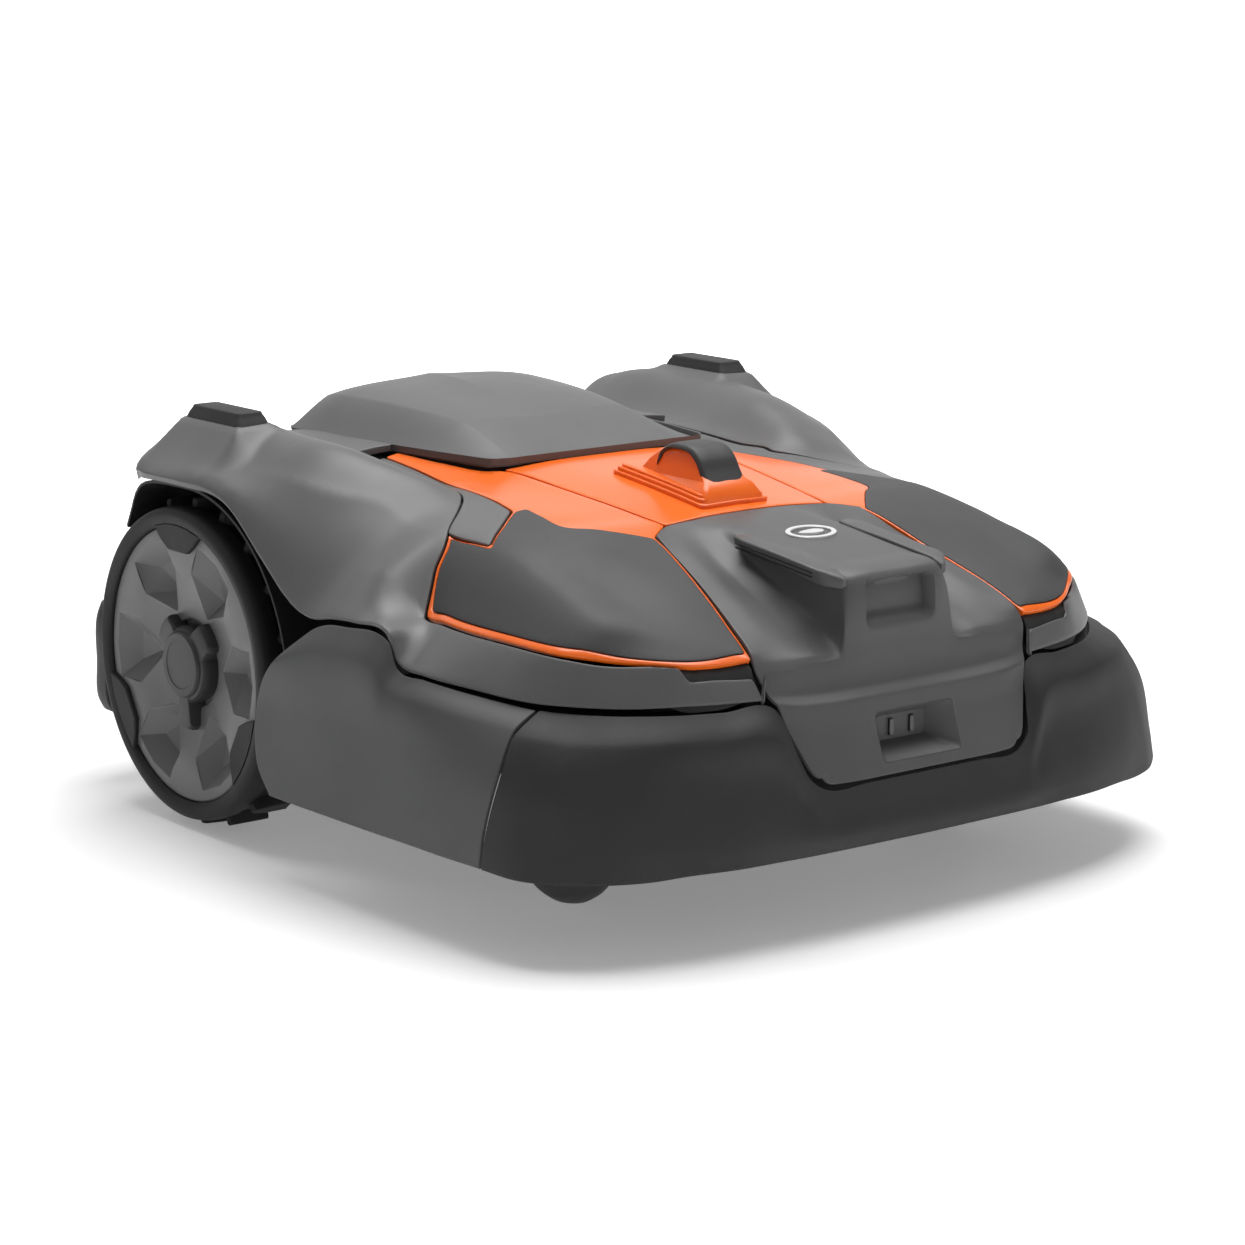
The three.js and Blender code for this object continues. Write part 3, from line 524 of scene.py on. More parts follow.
def centre_in(points, paths):
    """True where the middle of the points is inside one of the closed paths."""
    middle = sum(points, Vector((0, 0))) / len(points)
    return any(enclosed(crossings(path, middle.y), middle.x) for path in paths)


class Master:
    """A fine surface that plan outlines are lifted to."""
    def __init__(self, grid):
        self.tree = BVHTree.FromPolygons([p for row in grid for p in row], grid_faces(grid))

    def at(self, x, y):
        """Place and upward normal at a plan position; beyond the surface's edge, those of the edge."""
        place, normal, _, _ = self.tree.ray_cast(Vector((x, y, 900.0)), Vector((0, 0, -1)))
        if place is None:
            place = Vector((x, y, 300.0))
            for _ in range(5):
                near, normal, _, _ = self.tree.find_nearest(place)
                place = Vector((x, y, near.z))
        return place, (normal if normal.z > 0 else -normal)


def lifted(master, curve, thickness=PANEL, edge=1.0, raise_by=0.0, spacing=SPACING, hole=None, pocket=None,
           bump=None, gap=GAP):
    """Closed panel over a plan curve, with a rounded edge, lifted to the master surface."""
    points, drops, constraints = [], [], []

    def ring(path, drop):
        first = len(points)
        points.extend(path)
        drops.extend([drop] * len(path))
        ids = list(range(first, len(points)))
        constraints.extend(zip(ids, ids[1:] + ids[:1]))
        return ids

    def rounding(path, sign):
        """Four rings over a rounded edge. Returns the outermost."""
        angles = [math.radians(30 * k) for k in range(4)]
        rings = [ring(offset(path, sign * edge * (1 - math.cos(a)))[::RIM_STEP], edge * (1 - math.sin(a)))
                 for a in angles]
        return rings[0]

    rim = offset(curve, gap)
    outer = rounding(rim, 1)
    cuts = [offset(hole, -gap)] if hole else []
    for cut in cuts:
        rounding(cut, -1)
    pocket_path, depth = pocket or ([], 0.0)
    if pocket:
        for inset, drop in ((-0.5, 0.0), (-0.1, 0.4), (0.15, depth)):
            ring(offset(pocket_path, inset)[::RIM_STEP], drop)
        pocket_path = offset(pocket_path, 0.15)

    tree = KDTree(len(points))
    for i, p in enumerate(points):
        tree.insert((p.x, p.y, 0), i)
    tree.balance()
    xs = [p.x for p in rim]
    ys = [p.y for p in rim]
    y = min(ys) + spacing / 2
    while y < max(ys):
        walls = [x for path in [rim] + cuts for x in crossings(path, y)]
        pocket_walls = crossings(pocket_path, y)
        x = math.floor(min(xs) / spacing) * spacing
        while x < max(xs):
            if enclosed(walls, x) and tree.find((x, y, 0))[2] > spacing * 0.55:
                points.append(Vector((x, y)))
                drops.append(depth if enclosed(pocket_walls, x) else 0.0)
            x += spacing
        y += spacing
    made, _, triangles, origin, _, _ = delaunay_2d_cdt(points, constraints, [outer], 1, 1e-4)
    open_paths = [offset(cut, 0.02)[::2] for cut in cuts]
    triangles = [t for t in triangles if not centre_in([made[i] for i in t], open_paths)]

    tops, bottoms = [], []
    for p, source in zip(made, origin):
        drop = drops[source[0]] if source else 0.0
        place, normal = master.at(p.x, p.y)
        lift = raise_by + (bump(p.x, p.y, place.z) if bump else 0.0)
        tops.append(Vector((p.x, p.y, place.z + lift)) - normal * drop)
        bottoms.append(Vector((p.x, p.y, place.z + min(lift, raise_by))) - normal * thickness)
    shift = len(tops)
    faces = [tuple(t) for t in triangles] + [tuple(shift + i for i in reversed(t)) for t in triangles]
    faces += [(b, a, shift + a, shift + b) for a, b in open_edges(triangles)]
    used = sorted({i for f in faces for i in f})
    index = {old: new for new, old in enumerate(used)}
    both = tops + bottoms
    verts = [both[i] for i in used]
    faces = [tuple(index[i] for i in f) for f in faces]
    return verts, oriented(verts, faces)


# ---------- body surface and part lines
# Stations of the left flank, front to rear, each outwards from nose edge or hood crease to the lower edge.
FLANK = [
    [[143, -359, 222.5], [144, -360, 222], [145, -361, 221.5], [146, -362, 221],
     [147, -364, 217.5], [141, -375, 186.5]],
    [[141, -342, 232], [155, -342, 232], [170, -342, 232], [185, -341, 231], [205, -351, 220],
     [205, -361, 188]],
    [[135, -310, 247], [160, -313, 246.5], [187, -316, 244], [214, -318, 240], [240, -323, 224],
     [253.5, -330.5, 188.5]],
    [[124, -268, 264], [160, -274, 262], [197, -281, 257], [241, -296, 250.5], [273, -290, 228],
     [294, -288, 190.5]],
    [[113, -215, 285], [155, -218, 282], [200, -222, 278], [241, -225, 271], [284, -230, 230],
     [316, -220.5, 196]],
    [[88, -178, 294.5], [140, -168, 294.5], [195, -163, 292.5], [236, -150, 286.5],
     [288, -170, 231], [327, -176, 200.5]],
    [[90, -150, 298], [150, -142, 297], [197, -137, 294.5], [236, -125, 288.5], [288, -148, 232],
     [331, -147.5, 205.5]],
    [[93, -120, 302], [160, -115, 300], [200, -110, 296.5], [237, -99, 290], [287, -122, 233],
     [334, -137, 230]],
    [[99, -60, 309], [168, -55, 304], [206, -66, 299], [243, -78, 291.5], [295, -85, 262], [335, -90, 230]],
    [[102, -25, 313], [164, -35, 305], [206, -36, 306], [249, -44, 294.5], [300, -50, 263], [335, -55, 227]],
    [[105, 5, 316], [162, -2, 306], [206, -8, 319], [251, -12, 307], [300, -26, 266], [335, -23, 222]],
    [[118, 45, 317], [168, 42, 306], [221, 28, 331], [275, 26, 313], [315, 22, 272], [333, 10, 228]],
    [[126, 90, 318], [174, 88, 311], [236, 75, 342], [289, 72, 320], [321, 70, 292], [332, 50, 254]],
    [[135, 140, 320], [178, 140, 315], [246, 135, 346], [303, 135, 321.5], [325, 125, 312], [332, 105, 294]],
    [[135, 200, 320], [178, 200, 314], [243, 200, 347], [306, 200, 322.5], [325, 197, 312], [332, 175, 303]],
    [[135, 250, 316], [178, 250, 312], [240, 250, 348], [307, 246, 320.5], [323, 243, 311],
     [332, 228, 303.5]],
    [[135, 290, 312], [181, 290, 309], [238, 290, 343], [303, 276, 319], [319, 266, 311], [331, 248, 302]],
    [[135, 328, 302], [186, 328, 297], [234, 326, 330], [287, 305, 312], [312, 284, 303], [329, 257, 300]],
    [[135, 352, 285], [190, 354, 264], [232, 350, 275], [270, 332, 284], [306, 294, 292], [327, 264, 298]],
]
HOOD = [
    [[0, -181, 298], [45, -181, 297], [87, -181, 294]],
    [[0, -120, 306.5], [46, -120, 305.5], [93, -120, 302]],
    [[0, -60, 313], [50, -60, 312.5], [99, -60, 309]],
    [[0, 5, 319.5], [53, 5, 319], [105, 5, 316]],
    [[0, 30, 321.5], [56, 30, 321], [112, 30, 317.5]],
]
CREASE = [(105, 5), (99, -60), (93, -120), (87, -181)]
NOSE_EDGE = [(112, -199), (118, -236), (124, -268), (131, -297), (139, -329), (144.5, -357), (146, -363)]
TRIM = [(199.8, -352), (237.3, -325.2), (273, -290), (284, -231), (288, -170), (287, -122)]
SHOULDER_EDGE = [(262, -102), (250, -97), (240, -89)]
HOOD_EDGE = [(160, -88), (163, -112), (163, -150), (149, -162)]
STRIP_INNER = [(172, -84), (163, -42), (155, 10), (151, 80), (151, 134)]
LID_SIDE = [(136, 134), (128, 80), (118, 28), (110, 17)]
INSERT_TIP = (235, -140)
INSERT_OUTER = [(174, -10), (176, 4)]
SHELL_NOSE = (147, -366.2)     # where the shell's inner edge starts, beside the nose
SHELL_TAIL = (189, 353)        # and where it ends, beside the rear deck
LID_BASE = [(100, 20), (112, 22), (116, 28), (126, 80), (134, 134), (139, 220), (141, 300), (132, 314)]


def flank_soft(row):
    """The trim line is a sharp crease in front and turns into the fender's soft shoulder."""
    shoulder = ramp((row[4].y + 125) / 110)
    return [0.5, 1, 1, 0.8 - 0.55 * shoulder, 0.12 + 0.8 * shoulder, 1]


FLANK_GRID = surface(FLANK, 2.5, flank_soft)
flank = Master(FLANK_GRID)
hood = Master(both_sides(surface(HOOD, 3.0)))

FRAME_PATH = outline(
    corners(CREASE, 0, 3) + corners(NOSE_EDGE, 0, 6) + corners(TRIM, 5) + corners(SHOULDER_EDGE, 0, 2)
    + [(*INSERT_TIP, 0)] + corners(STRIP_INNER, 0, 4) + corners(LID_SIDE, 0, 3))
PANEL_PATH = outline(
    [(115, -200, 0), (121, -236), (127, -268), (134, -297), (142, -329), (147, -356, 0), (198, -348),
     (235, -322.5), (268.5, -287.5), (279, -230), (283, -170), (282, -124, 0), (260, -105), (247, -100),
     (241, -94, 0), (237.5, -145, 0), (172, -88, 0)] + corners(HOOD_EDGE, 0), 2.6)


def side_frames():
    solid = lifted(flank, FRAME_PATH, 5.0, pocket=(PANEL_PATH, 2.4))
    pair("side_frame", solid, "orange_gloss")


def side_panels():
    solid = lifted(flank, PANEL_PATH, 1.9, edge=0.6, raise_by=0.5, gap=0.5)
    pair("side_panel", solid, "panel_grey")


def shoulder_inserts():
    path = outline(corners(STRIP_INNER[::-1], 0, 4) + [(*INSERT_TIP, 0), (240, -87, 0)] + INSERT_OUTER
                   + [(176, 134, 0)], 2.6)
    pair("shoulder_insert", lifted(flank, path), "body_grey")


def side_shells():
    """The inner edge follows the orange trim and the insert; the lower and rear edges are the flank's own."""
    slot_end = nearest(FRAME_PATH, (208, -347))
    trim_end = nearest(FRAME_PATH, TRIM[-1]) - 5
    trim_curve = [tuple(p) for p in FRAME_PATH[slot_end:trim_end:6]]
    front = [(130, -500, 0), (*SHELL_NOSE, 0), (190, -358.3), (203, -354.5, 0)]
    rear = [(175, 200), (178, 282), (184, 320), (189, 354, 0)]
    far_away = [(196, 500, 0), (600, 500, 0), (600, -500, 0)]
    inner_edge = outline(front + trim_curve + corners(TRIM[-1:], 0) + corners(SHOULDER_EDGE, 0, 2)
                         + INSERT_OUTER + rear + far_away)
    inner_edge = inner_edge[nearest(inner_edge, SHELL_NOSE):nearest(inner_edge, SHELL_TAIL)]
    rear_edge = [p.xy for p in FLANK_GRID[-1] if p.x > SHELL_TAIL[0] + 0.5]
    lower_edge = [row[-1].xy for row in reversed(FLANK_GRID)]
    path = resampled(inner_edge + rear_edge + lower_edge, 1.6)
    pair("side_shell", lifted(flank, path, bump=plinth), "body_grey")


def vent_floors():
    """Dark floor under the vent slot beside the nose."""
    path = outline([(146, -371, 0), (188, -366), (214, -356), (226, -342), (210, -336), (190, -343),
                    (146, -353, 0)])
    pair("vent_floor", lifted(flank, path, 2.0, edge=0.6, raise_by=-6.0), "black_plastic")


def hood_cover():
    crease = corners(CREASE, 3)
    path = outline([(-p[0], *p[1:]) for p in crease] + crease[::-1] + [(108, 16.5, 0), (-108, 16.5, 0)])
    make("hood", lifted(hood, path), "orange_gloss")


PAD_X, PAD_Y, PAD_Z = [(low / MM, high / MM) for low, high in zip(*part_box("grip_pad_left"))]


def plinth(x, y, z):
    """Rise of the fender to the flat seat under the grip pad, fading out around it."""
    margin, slope, blend = 1, 1.1, 7.0
    dx = max(PAD_X[0] - margin - x, x - PAD_X[1] - margin, 0.0)
    dy = max(PAD_Y[0] - margin - y, y - PAD_Y[1] - margin, 0.0)
    away = math.hypot(dx, dy * 0.95)
    rise = PAD_Z[0] - 0.2 - slope * away - z
    return 0.5 * (rise + math.sqrt(rise * rise + blend * blend)) if rise > -40 else 0.0


def grip_pads():
    """Rubber block on the seat. A level is (inset across, inset along, height over the seat, corner radius)."""
    seat, height = PAD_Z[0], PAD_Z[1] - PAD_Z[0]
    corner, edge, steps = 5.0, 2.2, 4
    levels = [(0, 0, 0.1, corner), (0.4, 0.8, 1.5, corner), (1.6, 3.0, 5.5, corner)]
    for k in range(steps + 1):
        a = math.radians(90 * k / steps)
        d = edge * (1 - math.cos(a))
        levels.append((3.2 + d, 5.5 + d, height - edge + edge * math.sin(a), max(corner - d, 0.5)))
    rings = [level(seat + up, PAD_X[0] + dx, PAD_X[1] - dx, PAD_Y[0] + dy, PAD_Y[1] - dy, r)
             for dx, dy, up, r in levels]
    pair("grip_pad", loft(rings), "black_rubber", sharp=30)


# ---------- nose
# Stations of the nose's left half, rear to front and down to the bumper, each outwards from the middle.
NOSE = [
    [[0, -182, 297.5], [35, -182, 297], [48, -182, 296.5], [58, -183, 296], [72, -183.5, 295.4],
     [90, -185, 294], [110, -198, 291]],
    [[0, -205, 296], [38, -205, 295], [50, -205, 293], [58, -206, 291], [75, -207, 287],
     [98, -210, 286], [114, -216, 284]],
    [[0, -235, 293], [40, -235, 292], [52, -235, 289], [59, -236, 281], [78, -238, 272],
     [102, -240, 275], [117, -238, 275]],
    [[0, -268, 289], [42, -268, 288], [52, -268, 285], [60, -269, 267], [80, -270, 257.5],
     [106, -270, 263], [123, -268, 264]],
    [[0, -300, 285], [43, -300, 284], [52, -300, 280], [60, -301, 253], [84, -303, 245.5],
     [112, -301, 252], [130, -297, 253]],
    [[0, -330, 281], [43, -330, 280], [52, -330, 277], [61, -331, 240], [86, -332, 234.5],
     [117, -331, 239], [138, -329, 240]],
    [[0, -364, 276], [42, -363, 275], [51, -360, 272], [60, -356, 224], [88, -355, 223],
     [118, -355, 224], [143, -357, 224]],
    [[0, -370, 268], [42, -369, 266], [53, -367, 258], [61, -366, 218], [90, -366, 217],
     [120, -364, 217], [144, -361, 218]],
    [[0, -372, 219], [42, -372, 218], [55, -371, 217], [63, -371, 213], [90, -370, 212],
     [120, -369, 210], [144, -364, 211]],
    [[0, -376, 189], [42, -376, 189], [55, -376, 189], [65, -376, 189], [90, -375, 189.5],
     [118, -373.5, 191], [137, -371, 193]],
    [[0, -386, 181], [42, -386, 181], [55, -386, 181], [65, -386, 181], [90, -385, 181.5],
     [115, -382.5, 183], [133, -377.5, 186]],
    [[0, -390, 162], [42, -390, 162], [55, -390, 162], [65, -390, 162], [86, -389, 162],
     [108, -387, 163], [127, -383, 166]],
    [[0, -404, 121], [42, -404, 121], [55, -404, 121], [65, -404, 121], [80, -403, 121],
     [97, -402, 122], [111, -400, 126]],
]
NOSE_ALONG = [1, 1, 1, 1, 1, 1, 0.8, 0.8, 0.3, 0.5, 0.1, 0.6, 1]
NOSE_ACROSS = [1, 1, 0.8, 0.7, 0.9, 1, 1]


def box_distance(x, z, half, low, high, corner):
    """Signed distance from (x, z) to a rounded rectangle; negative inside."""
    dx = abs(x) - half + corner
    dz = abs(z - (low + high) / 2) - (high - low) / 2 + corner
    return math.hypot(max(dx, 0), max(dz, 0)) + min(max(dx, dz), 0) - corner


def sink_window(p):
    """Presses the plain window pocket into the front of the hump."""
    if p.y < -366.5 and 222 < p.z < 272:
        inner = ramp(-box_distance(p.x, p.z, 36, 231, 290, 9) / 3.0)
        p.y += 11.0 * inner * ramp((p.z - 232) / 12) * ramp((271 - p.z) / 4)


def round_lower_corner(p):
    """Turns the square lower corner of the grid into a round one."""
    x0, z0, reach = 95, 138, 17.0
    dx, dz = abs(p.x) - x0, z0 - p.z
    if dx > 0 and dz > 0:
        away = math.hypot(dx, dz)
        pull = 1 - (1 - max(dx, dz) / away) * ramp(away / reach)
        p.x = math.copysign(x0 + dx * pull, p.x)
        p.z = z0 - dz * pull


def nose_cover():
    grid = both_sides(surface(NOSE, 2.6, NOSE_ACROSS, NOSE_ALONG))
    for row in grid:
        for p in row:
            sink_window(p)
            round_lower_corner(p)
    solid = shell(grid, PANEL, (0, -0.5, 1))
    cover = make("nose_cover", solid, "body_grey", look=NOSE_SHADED_GREY, bevel=1.4, sharp=50)
    verts, faces = loft([facing(y, -42, 42, 129.5, 169, 4.5) for y in (-440, -370)])
    knife = bpy.data.objects.new("knife", bpy.data.meshes.new("knife"))
    knife.data.from_pydata([v * MM for v in verts], [], faces)
    scene.collection.objects.link(knife)
    mouth = cover.modifiers.new("mouth", "BOOLEAN")
    mouth.object = knife
    mouth.solver = "EXACT"
    apply_modifiers(cover)
    bpy.data.objects.remove(knife)
    cover.data.shade_smooth()
    cover.data.set_sharp_from_angle(angle=math.radians(50))


def charging_face(z):
    """Depth of the flat face around the charging recess at height z, from the last three nose stations."""
    (top_y, top_z), (mid_y, mid_z), (low_y, low_z) = [station[0][1:] for station in NOSE[-3:]]
    if z < mid_z:
        return low_y + (z - low_z) * (mid_y - low_y) / (mid_z - low_z)
    return mid_y + (z - mid_z) * (top_y - mid_y) / (top_z - mid_z)


def charging_recess():
    def on_face(half, low, high, corner, depth):
        return [Vector((x, charging_face(z) + depth, z))
                for x, z in rounded(-half, half, low, high, corner, 4)]
    outside = [facing(-370.5, -29, 29, 137, 163, 4), on_face(43, 128.5, 170, 5, 4.5),
               on_face(41.9, 129.6, 168.9, 4.5, 2.5)]
    inside = [on_face(41.7, 129.8, 168.7, 4.4, 0.3), on_face(40.6, 130.8, 167.6, 4.2, 1.6),
              facing(-374.5, -27, 27, 139, 161, 3), facing(-373.2, -26, 26, 140, 160, 2.6)]
    make("charging_recess", loft(outside + inside), "body_grey", look=NOSE_SHADED_GREY, sharp=30)


def charging_contacts():
    strips = []
    for x in (-11, 11):
        strips.append(loft([facing(y, x - 2.2 + d, x + 2.2 - d, 143 + d, 157 - d, 1, 3)
                            for y, d in ((-373.3, 0), (-375.2, 0), (-375.7, 0.5))]))
    make("charging_contacts", gather(strips), "steel", look=CONTACT_METAL)


def visor_ears():
    """Raised cheeks beside the hump's window, each with two fine slots along its outer side."""
    sections = [(-238, 55, 60, 287.5, 290.5, 1), (-240, 50, 63, 285, 291.5, 2),
                (-252, 48, 66.5, 282.5, 290.5, 2), (-300, 48, 67, 275, 285.5, 2),
                (-345, 48, 67, 268, 280, 2.4), (-352, 49, 65, 266.5, 278.8, 2.6),
                (-362, 50, 57, 265.5, 274.5, 2.6), (-363.5, 51, 55, 267, 273, 2)]
    pair("visor_ear", loft([facing(*section) for section in sections]), "body_grey", look=NOSE_SHADED_GREY, sharp=35)
    slots = [loft([facing(y, 66, 67.4, top - drop, top - drop + 1.3, 0.3, 2)
                   for y, top in ((-246, 291), (-341, 281))]) for drop in (5.2, 8.6)]
    pair("visor_slots", gather(slots), "black_plastic")


def nose_emblem():
    """Plain oval badge: a raised ring around a leaf shape, standing on the hump."""
    def lay(x, y, up):
        back = y * 0.97
        return Vector((x, back - 262, 289.9 + back * 0.125 + up))

    def oval(rx, ry, up):
        return [lay(rx * math.cos(t), ry * math.sin(t), up) for t in (math.tau * k / 64 for k in range(64))]

    def leaf(shrink, up):
        ring = []
        for k in range(40):
            t = math.tau * k / 40
            taper = 0.75 + 0.25 * math.cos(t)
            ring.append(lay((13 - shrink) * math.cos(t), (6.5 - shrink) * math.sin(t) * taper, up))
        return ring
    band = [oval(24, 17, -1), oval(24, 17, 1.1), oval(23.6, 16.6, 1.5), oval(19.9, 12.9, 1.5),
            oval(19.5, 12.5, 1.1), oval(19.5, 12.5, -1)]
    solid = gather([loft(band, looped=True), loft([leaf(0, -1), leaf(0, 1.1), leaf(0.4, 1.5)])])
    make("nose_emblem", solid, "silver_trim", sharp=35)


# ---------- beacon
def beacon_base():
    """Three thin steps that follow the hood, with a tapering tower on them."""
    parts = []
    for half, front, rear, up, edge in ((37, -167, -43, 3.6, 1.2), (34.5, -163.5, -46, 7.0, 1.4),
                                        (32, -161, -49, 9.5, 1.2)):
        path = resampled([Vector(p) for p in rounded(-half, half, front, rear, 5, 6)], 1.0)
        parts.append(lifted(hood, path, up + 1.5, edge=edge, raise_by=up, spacing=5, gap=0))
    tower = [(300, 33, -166, -50, 4), (306, 32, -164.5, -51, 4), (315.5, 27, -158.5, -56, 4),
             (319, 22.5, -154, -62, 4), (330, 19.5, -143, -72, 5), (338, 17.5, -133, -82, 6),
             (341, 16, -128, -88, 6)]
    parts.append(loft([level(z, -half, half, front, rear, r) for z, half, front, rear, r in tower]))
    make("beacon_base", gather(parts), "orange_gloss", sharp=32)


def stop_button():
    arch = [(-87, 331), (-91, 340), (-100, 345.6), (-118, 347.2), (-132, 345), (-142, 337.5), (-148.5, 327),
            (-156, 316.4)]
    stations = []
    for i, (y, z) in enumerate(arch):
        half = 19.5 + 2.5 * i / (len(arch) - 1)
        stations.append([[0, y, z], [half * 0.7, y, z - 0.3], [half - 2, y + 0.6, z - 1.3],
                         [half, y + 3, z - 4.5]])
    grid = both_sides(surface(stations, 1.6))
    make("stop_button", shell(grid, 3.2, (0, -0.4, 1)), "button_black", "stop_button", bevel=0.8)


# ---------- lid, deck and rear bumper
LID = [
    [[0, 20, 323], [60, 20, 322.5], [100, 20, 322]],
    [[0, 26, 324.5], [88, 27, 324], [116, 28, 321.5]],
    [[0, 101, 344], [88, 101, 345], [128, 92, 321]],
    [[0, 172, 355], [98, 172, 351], [135, 160, 321]],
    [[0, 244, 363], [106, 240, 353], [139, 222, 322]],
    [[0, 288, 361], [110, 285, 351], [141, 300, 322]],
    [[0, 316, 324], [104, 315, 323], [132, 314, 322]],
]
DECK = [
    [[0, 137, 326], [90, 137, 326], [150, 137, 325.5], [173, 143, 323]],
    [[0, 200, 326], [90, 200, 326], [150, 200, 325], [173, 200, 322]],
    [[0, 280, 326], [90, 280, 325], [150, 280, 322], [176, 282, 314]],
    [[0, 318, 320], [90, 318, 319], [150, 318, 313], [182, 320, 303]],
    [[0, 354, 292], [90, 353, 291], [145, 352, 286], [187, 356, 262]],
    [[0, 386, 236], [90, 385, 235], [170, 381, 230], [246, 364, 222]],
    [[0, 404, 172], [90, 403, 172], [190, 398, 172], [276, 378, 170]],
]


def lid():
    grid = both_sides(surface(LID, 3.0, [1, 0.5, 1], [1, 0.25, 0.5, 1, 0.6, 0.5, 1]))
    make("lid", shell(grid, 4.0, (0, 0, 1)), "body_grey", "lid", bevel=1.6, sharp=50)


def rear_deck():
    deck = Master(both_sides(surface(DECK, 3.0)))
    side = [(173, 143, 0), (173, 200), (176, 282), (182, 320), (187, 356, 0), (246, 364, 0), (276, 378, 0),
            (190, 398), (90, 403)]
    path = outline(side + [(0, 404)] + [(-p[0], *p[1:]) for p in reversed(side)] + [(0, 137)], 1.6)
    lid_path = outline([(x, y, 0) for x, y in LID_BASE] + [(-x, y, 0) for x, y in reversed(LID_BASE)], 2.0)
    solid = lifted(deck, path, 6.0, edge=1.2, gap=0.5, hole=offset(lid_path, -1.3))
    make("rear_deck", solid, "body_grey", sharp=45)


def rear_bumper():
    """A band that bows out at mid height; at its ends the bow turns to the sides."""
    plan = [(0, 414), (120, 413.5), (200, 411.5), (266, 407), (291, 399), (302, 384), (304, 364)]
    rows = []
    for z, pull in ((65, 6), (78, 0), (110, 0), (150, 1), (165, 7)):
        row = []
        for x, y in plan:
            sideways = ramp((x - 262) / 38)
            row.append([x - pull * sideways, y - pull * (1 - sideways), z])
        rows.append(row)
    solid = shell(both_sides(surface(rows, 4.0)), 5.0, (0, 1, 0))
    make("rear_bumper", solid, "bumper_black", bevel=1.8)


# ---------- bumper and skirts
# Columns from the lower edge to the top edge: the bumper's from the middle outwards, the skirt's to the rear.
BUMPER = [
    [[0, -411, 69], [0, -414, 80], [0, -409, 100], [0, -404.5, 118]],
    [[60, -410, 69], [60, -413.5, 80], [60, -408.5, 100], [60, -404, 118]],
    [[105, -409, 69], [105, -412, 80], [105, -407, 100], [102, -402.3, 118]],
    [[116, -408.5, 69], [116, -411, 81], [116, -406, 104], [117, -399, 128.5]],
    [[126, -408, 69], [126, -410, 83], [125.5, -403, 110], [123.5, -390.5, 149]],
    [[148, -406, 69], [148, -407, 85], [144, -397, 130], [136, -376, 183.5]],
    [[192, -402, 69], [190, -402, 88], [186, -391, 135], [180, -368, 185]],
    [[233, -393, 69], [231, -392, 90], [226, -382, 140], [214, -359, 186]],
    [[262, -383, 67], [260, -382, 92], [255, -373, 140], [236, -346, 186]],
    [[292, -370, 67], [289, -368, 93], [283, -359, 140], [255, -331, 186]],
    [[326, -343, 67], [322, -341, 94], [315, -335, 140], [276, -310, 186.5]],
    [[342, -317, 68], [338, -315, 95], [329, -310, 145], [290, -292, 187.5]],
    [[349, -283, 70], [347, -285, 95], [337, -293, 145], [294.5, -285.5, 188]],
]
SKIRT = [
    [[349, -280, 70], [347.5, -282, 95], [338, -290, 145], [296.5, -283, 188]],
    [[352, -230, 70], [350, -231, 95], [344, -233, 145], [314.5, -222, 192.5]],
    [[353, -182, 70], [352, -182, 95], [347, -182, 145], [326, -176, 197]],
    [[354.5, -150, 70], [353, -150, 95], [348, -149, 145], [331, -149, 200]],
    [[355, -132, 70], [353.5, -132, 95], [349, -134, 145], [334, -138.5, 222]],
    [[356, -80, 70], [354.5, -80, 95], [351, -80, 145], [336, -82, 225]],
    [[357, -30, 70], [355.5, -30, 95], [352, -30, 145], [337, -43, 219]],
    [[357, 6, 70], [356, 26, 95], [353, 28, 145], [345, -14, 200]],
]


def away_from_core(p):
    """Level direction outwards: fanned round the front corner, straight to the side behind it."""
    fan_centre, corner_end = -150, -300
    return Vector((p.x, p.y - fan_centre, 0)).normalized() if p.y < corner_end else Vector((1, 0, 0))


def with_lip(columns, share, push):
    """The columns with one more point below the top edge, pushed out to make a rounded shoulder."""
    out = []
    for column in columns:
        low, top = Vector(column[2]), Vector(column[3])
        reach = push * ramp((top.z - 120) / 60)
        out.append(column[:3] + [low.lerp(top, share) + away_from_core(low) * reach, top])
    return out


def front_bumper():
    grid = surface(with_lip(BUMPER, 0.62, 11), 3.5, [1, 1, 1, 0.7, 1], [1] * 9 + [0.9, 0.2, 1, 1])
    make("front_bumper", shell(both_ends(grid), PANEL, (0, -1, 0)), "bumper_black", bevel=1.4, sharp=50)


def side_skirts():
    grid = surface(with_lip(SKIRT, 0.72, 10), 3.5, [1, 1, 1, 0.8, 1])
    pair("side_skirt", shell(grid, PANEL, (1, 0, 0)), "skirt_grey", bevel=1.4, sharp=50)


def shade_shelves():
    """Dark shelf inside the gap between shell and bumper, so that the floor doesn't show through; its near
    black is painted shade in the gap.
    """
    top_edge = [Vector(column[-1]) for column in BUMPER[5:] + SKIRT[:4]]
    across = ((4, 3.5), (20, 4), (36, 4.5))
    shelf = [[p - away_from_core(p) * inward - Vector((0, 0, drop)) for inward, drop in across]
             for p in top_edge]
    pair("gap_shade_shelf", shell(surface(shelf, 6), 1.5, (0, 0, 1)), "black_plastic")


# ---------- wheels
WHEEL_CENTRE = Vector((302, 190, 145))
RIM_R = 121          # outside of the rim
FLAT_R = 100         # outside of the dish, where the flat edge begins
HUB_R = 40           # inside of the dish, at the hub well
LINER_R = 155.8      # outside of the housing's band
SPOKES = 6
LUGS = 20
LINER_REAR = [(36, 155), (62, 153), (78, 148), (88, 139), (96, 124), (105, 107)]


def on_wheel(u, v, out):
    """Point on the left wheel: u to the rear, v up, out along the axle."""
    return WHEEL_CENTRE + Vector((out, u, v))


def polar(r, degrees):
    """(u, v) at a clock angle from the top of the wheel."""
    a = math.radians(degrees)
    return (r * math.sin(a), r * math.cos(a))


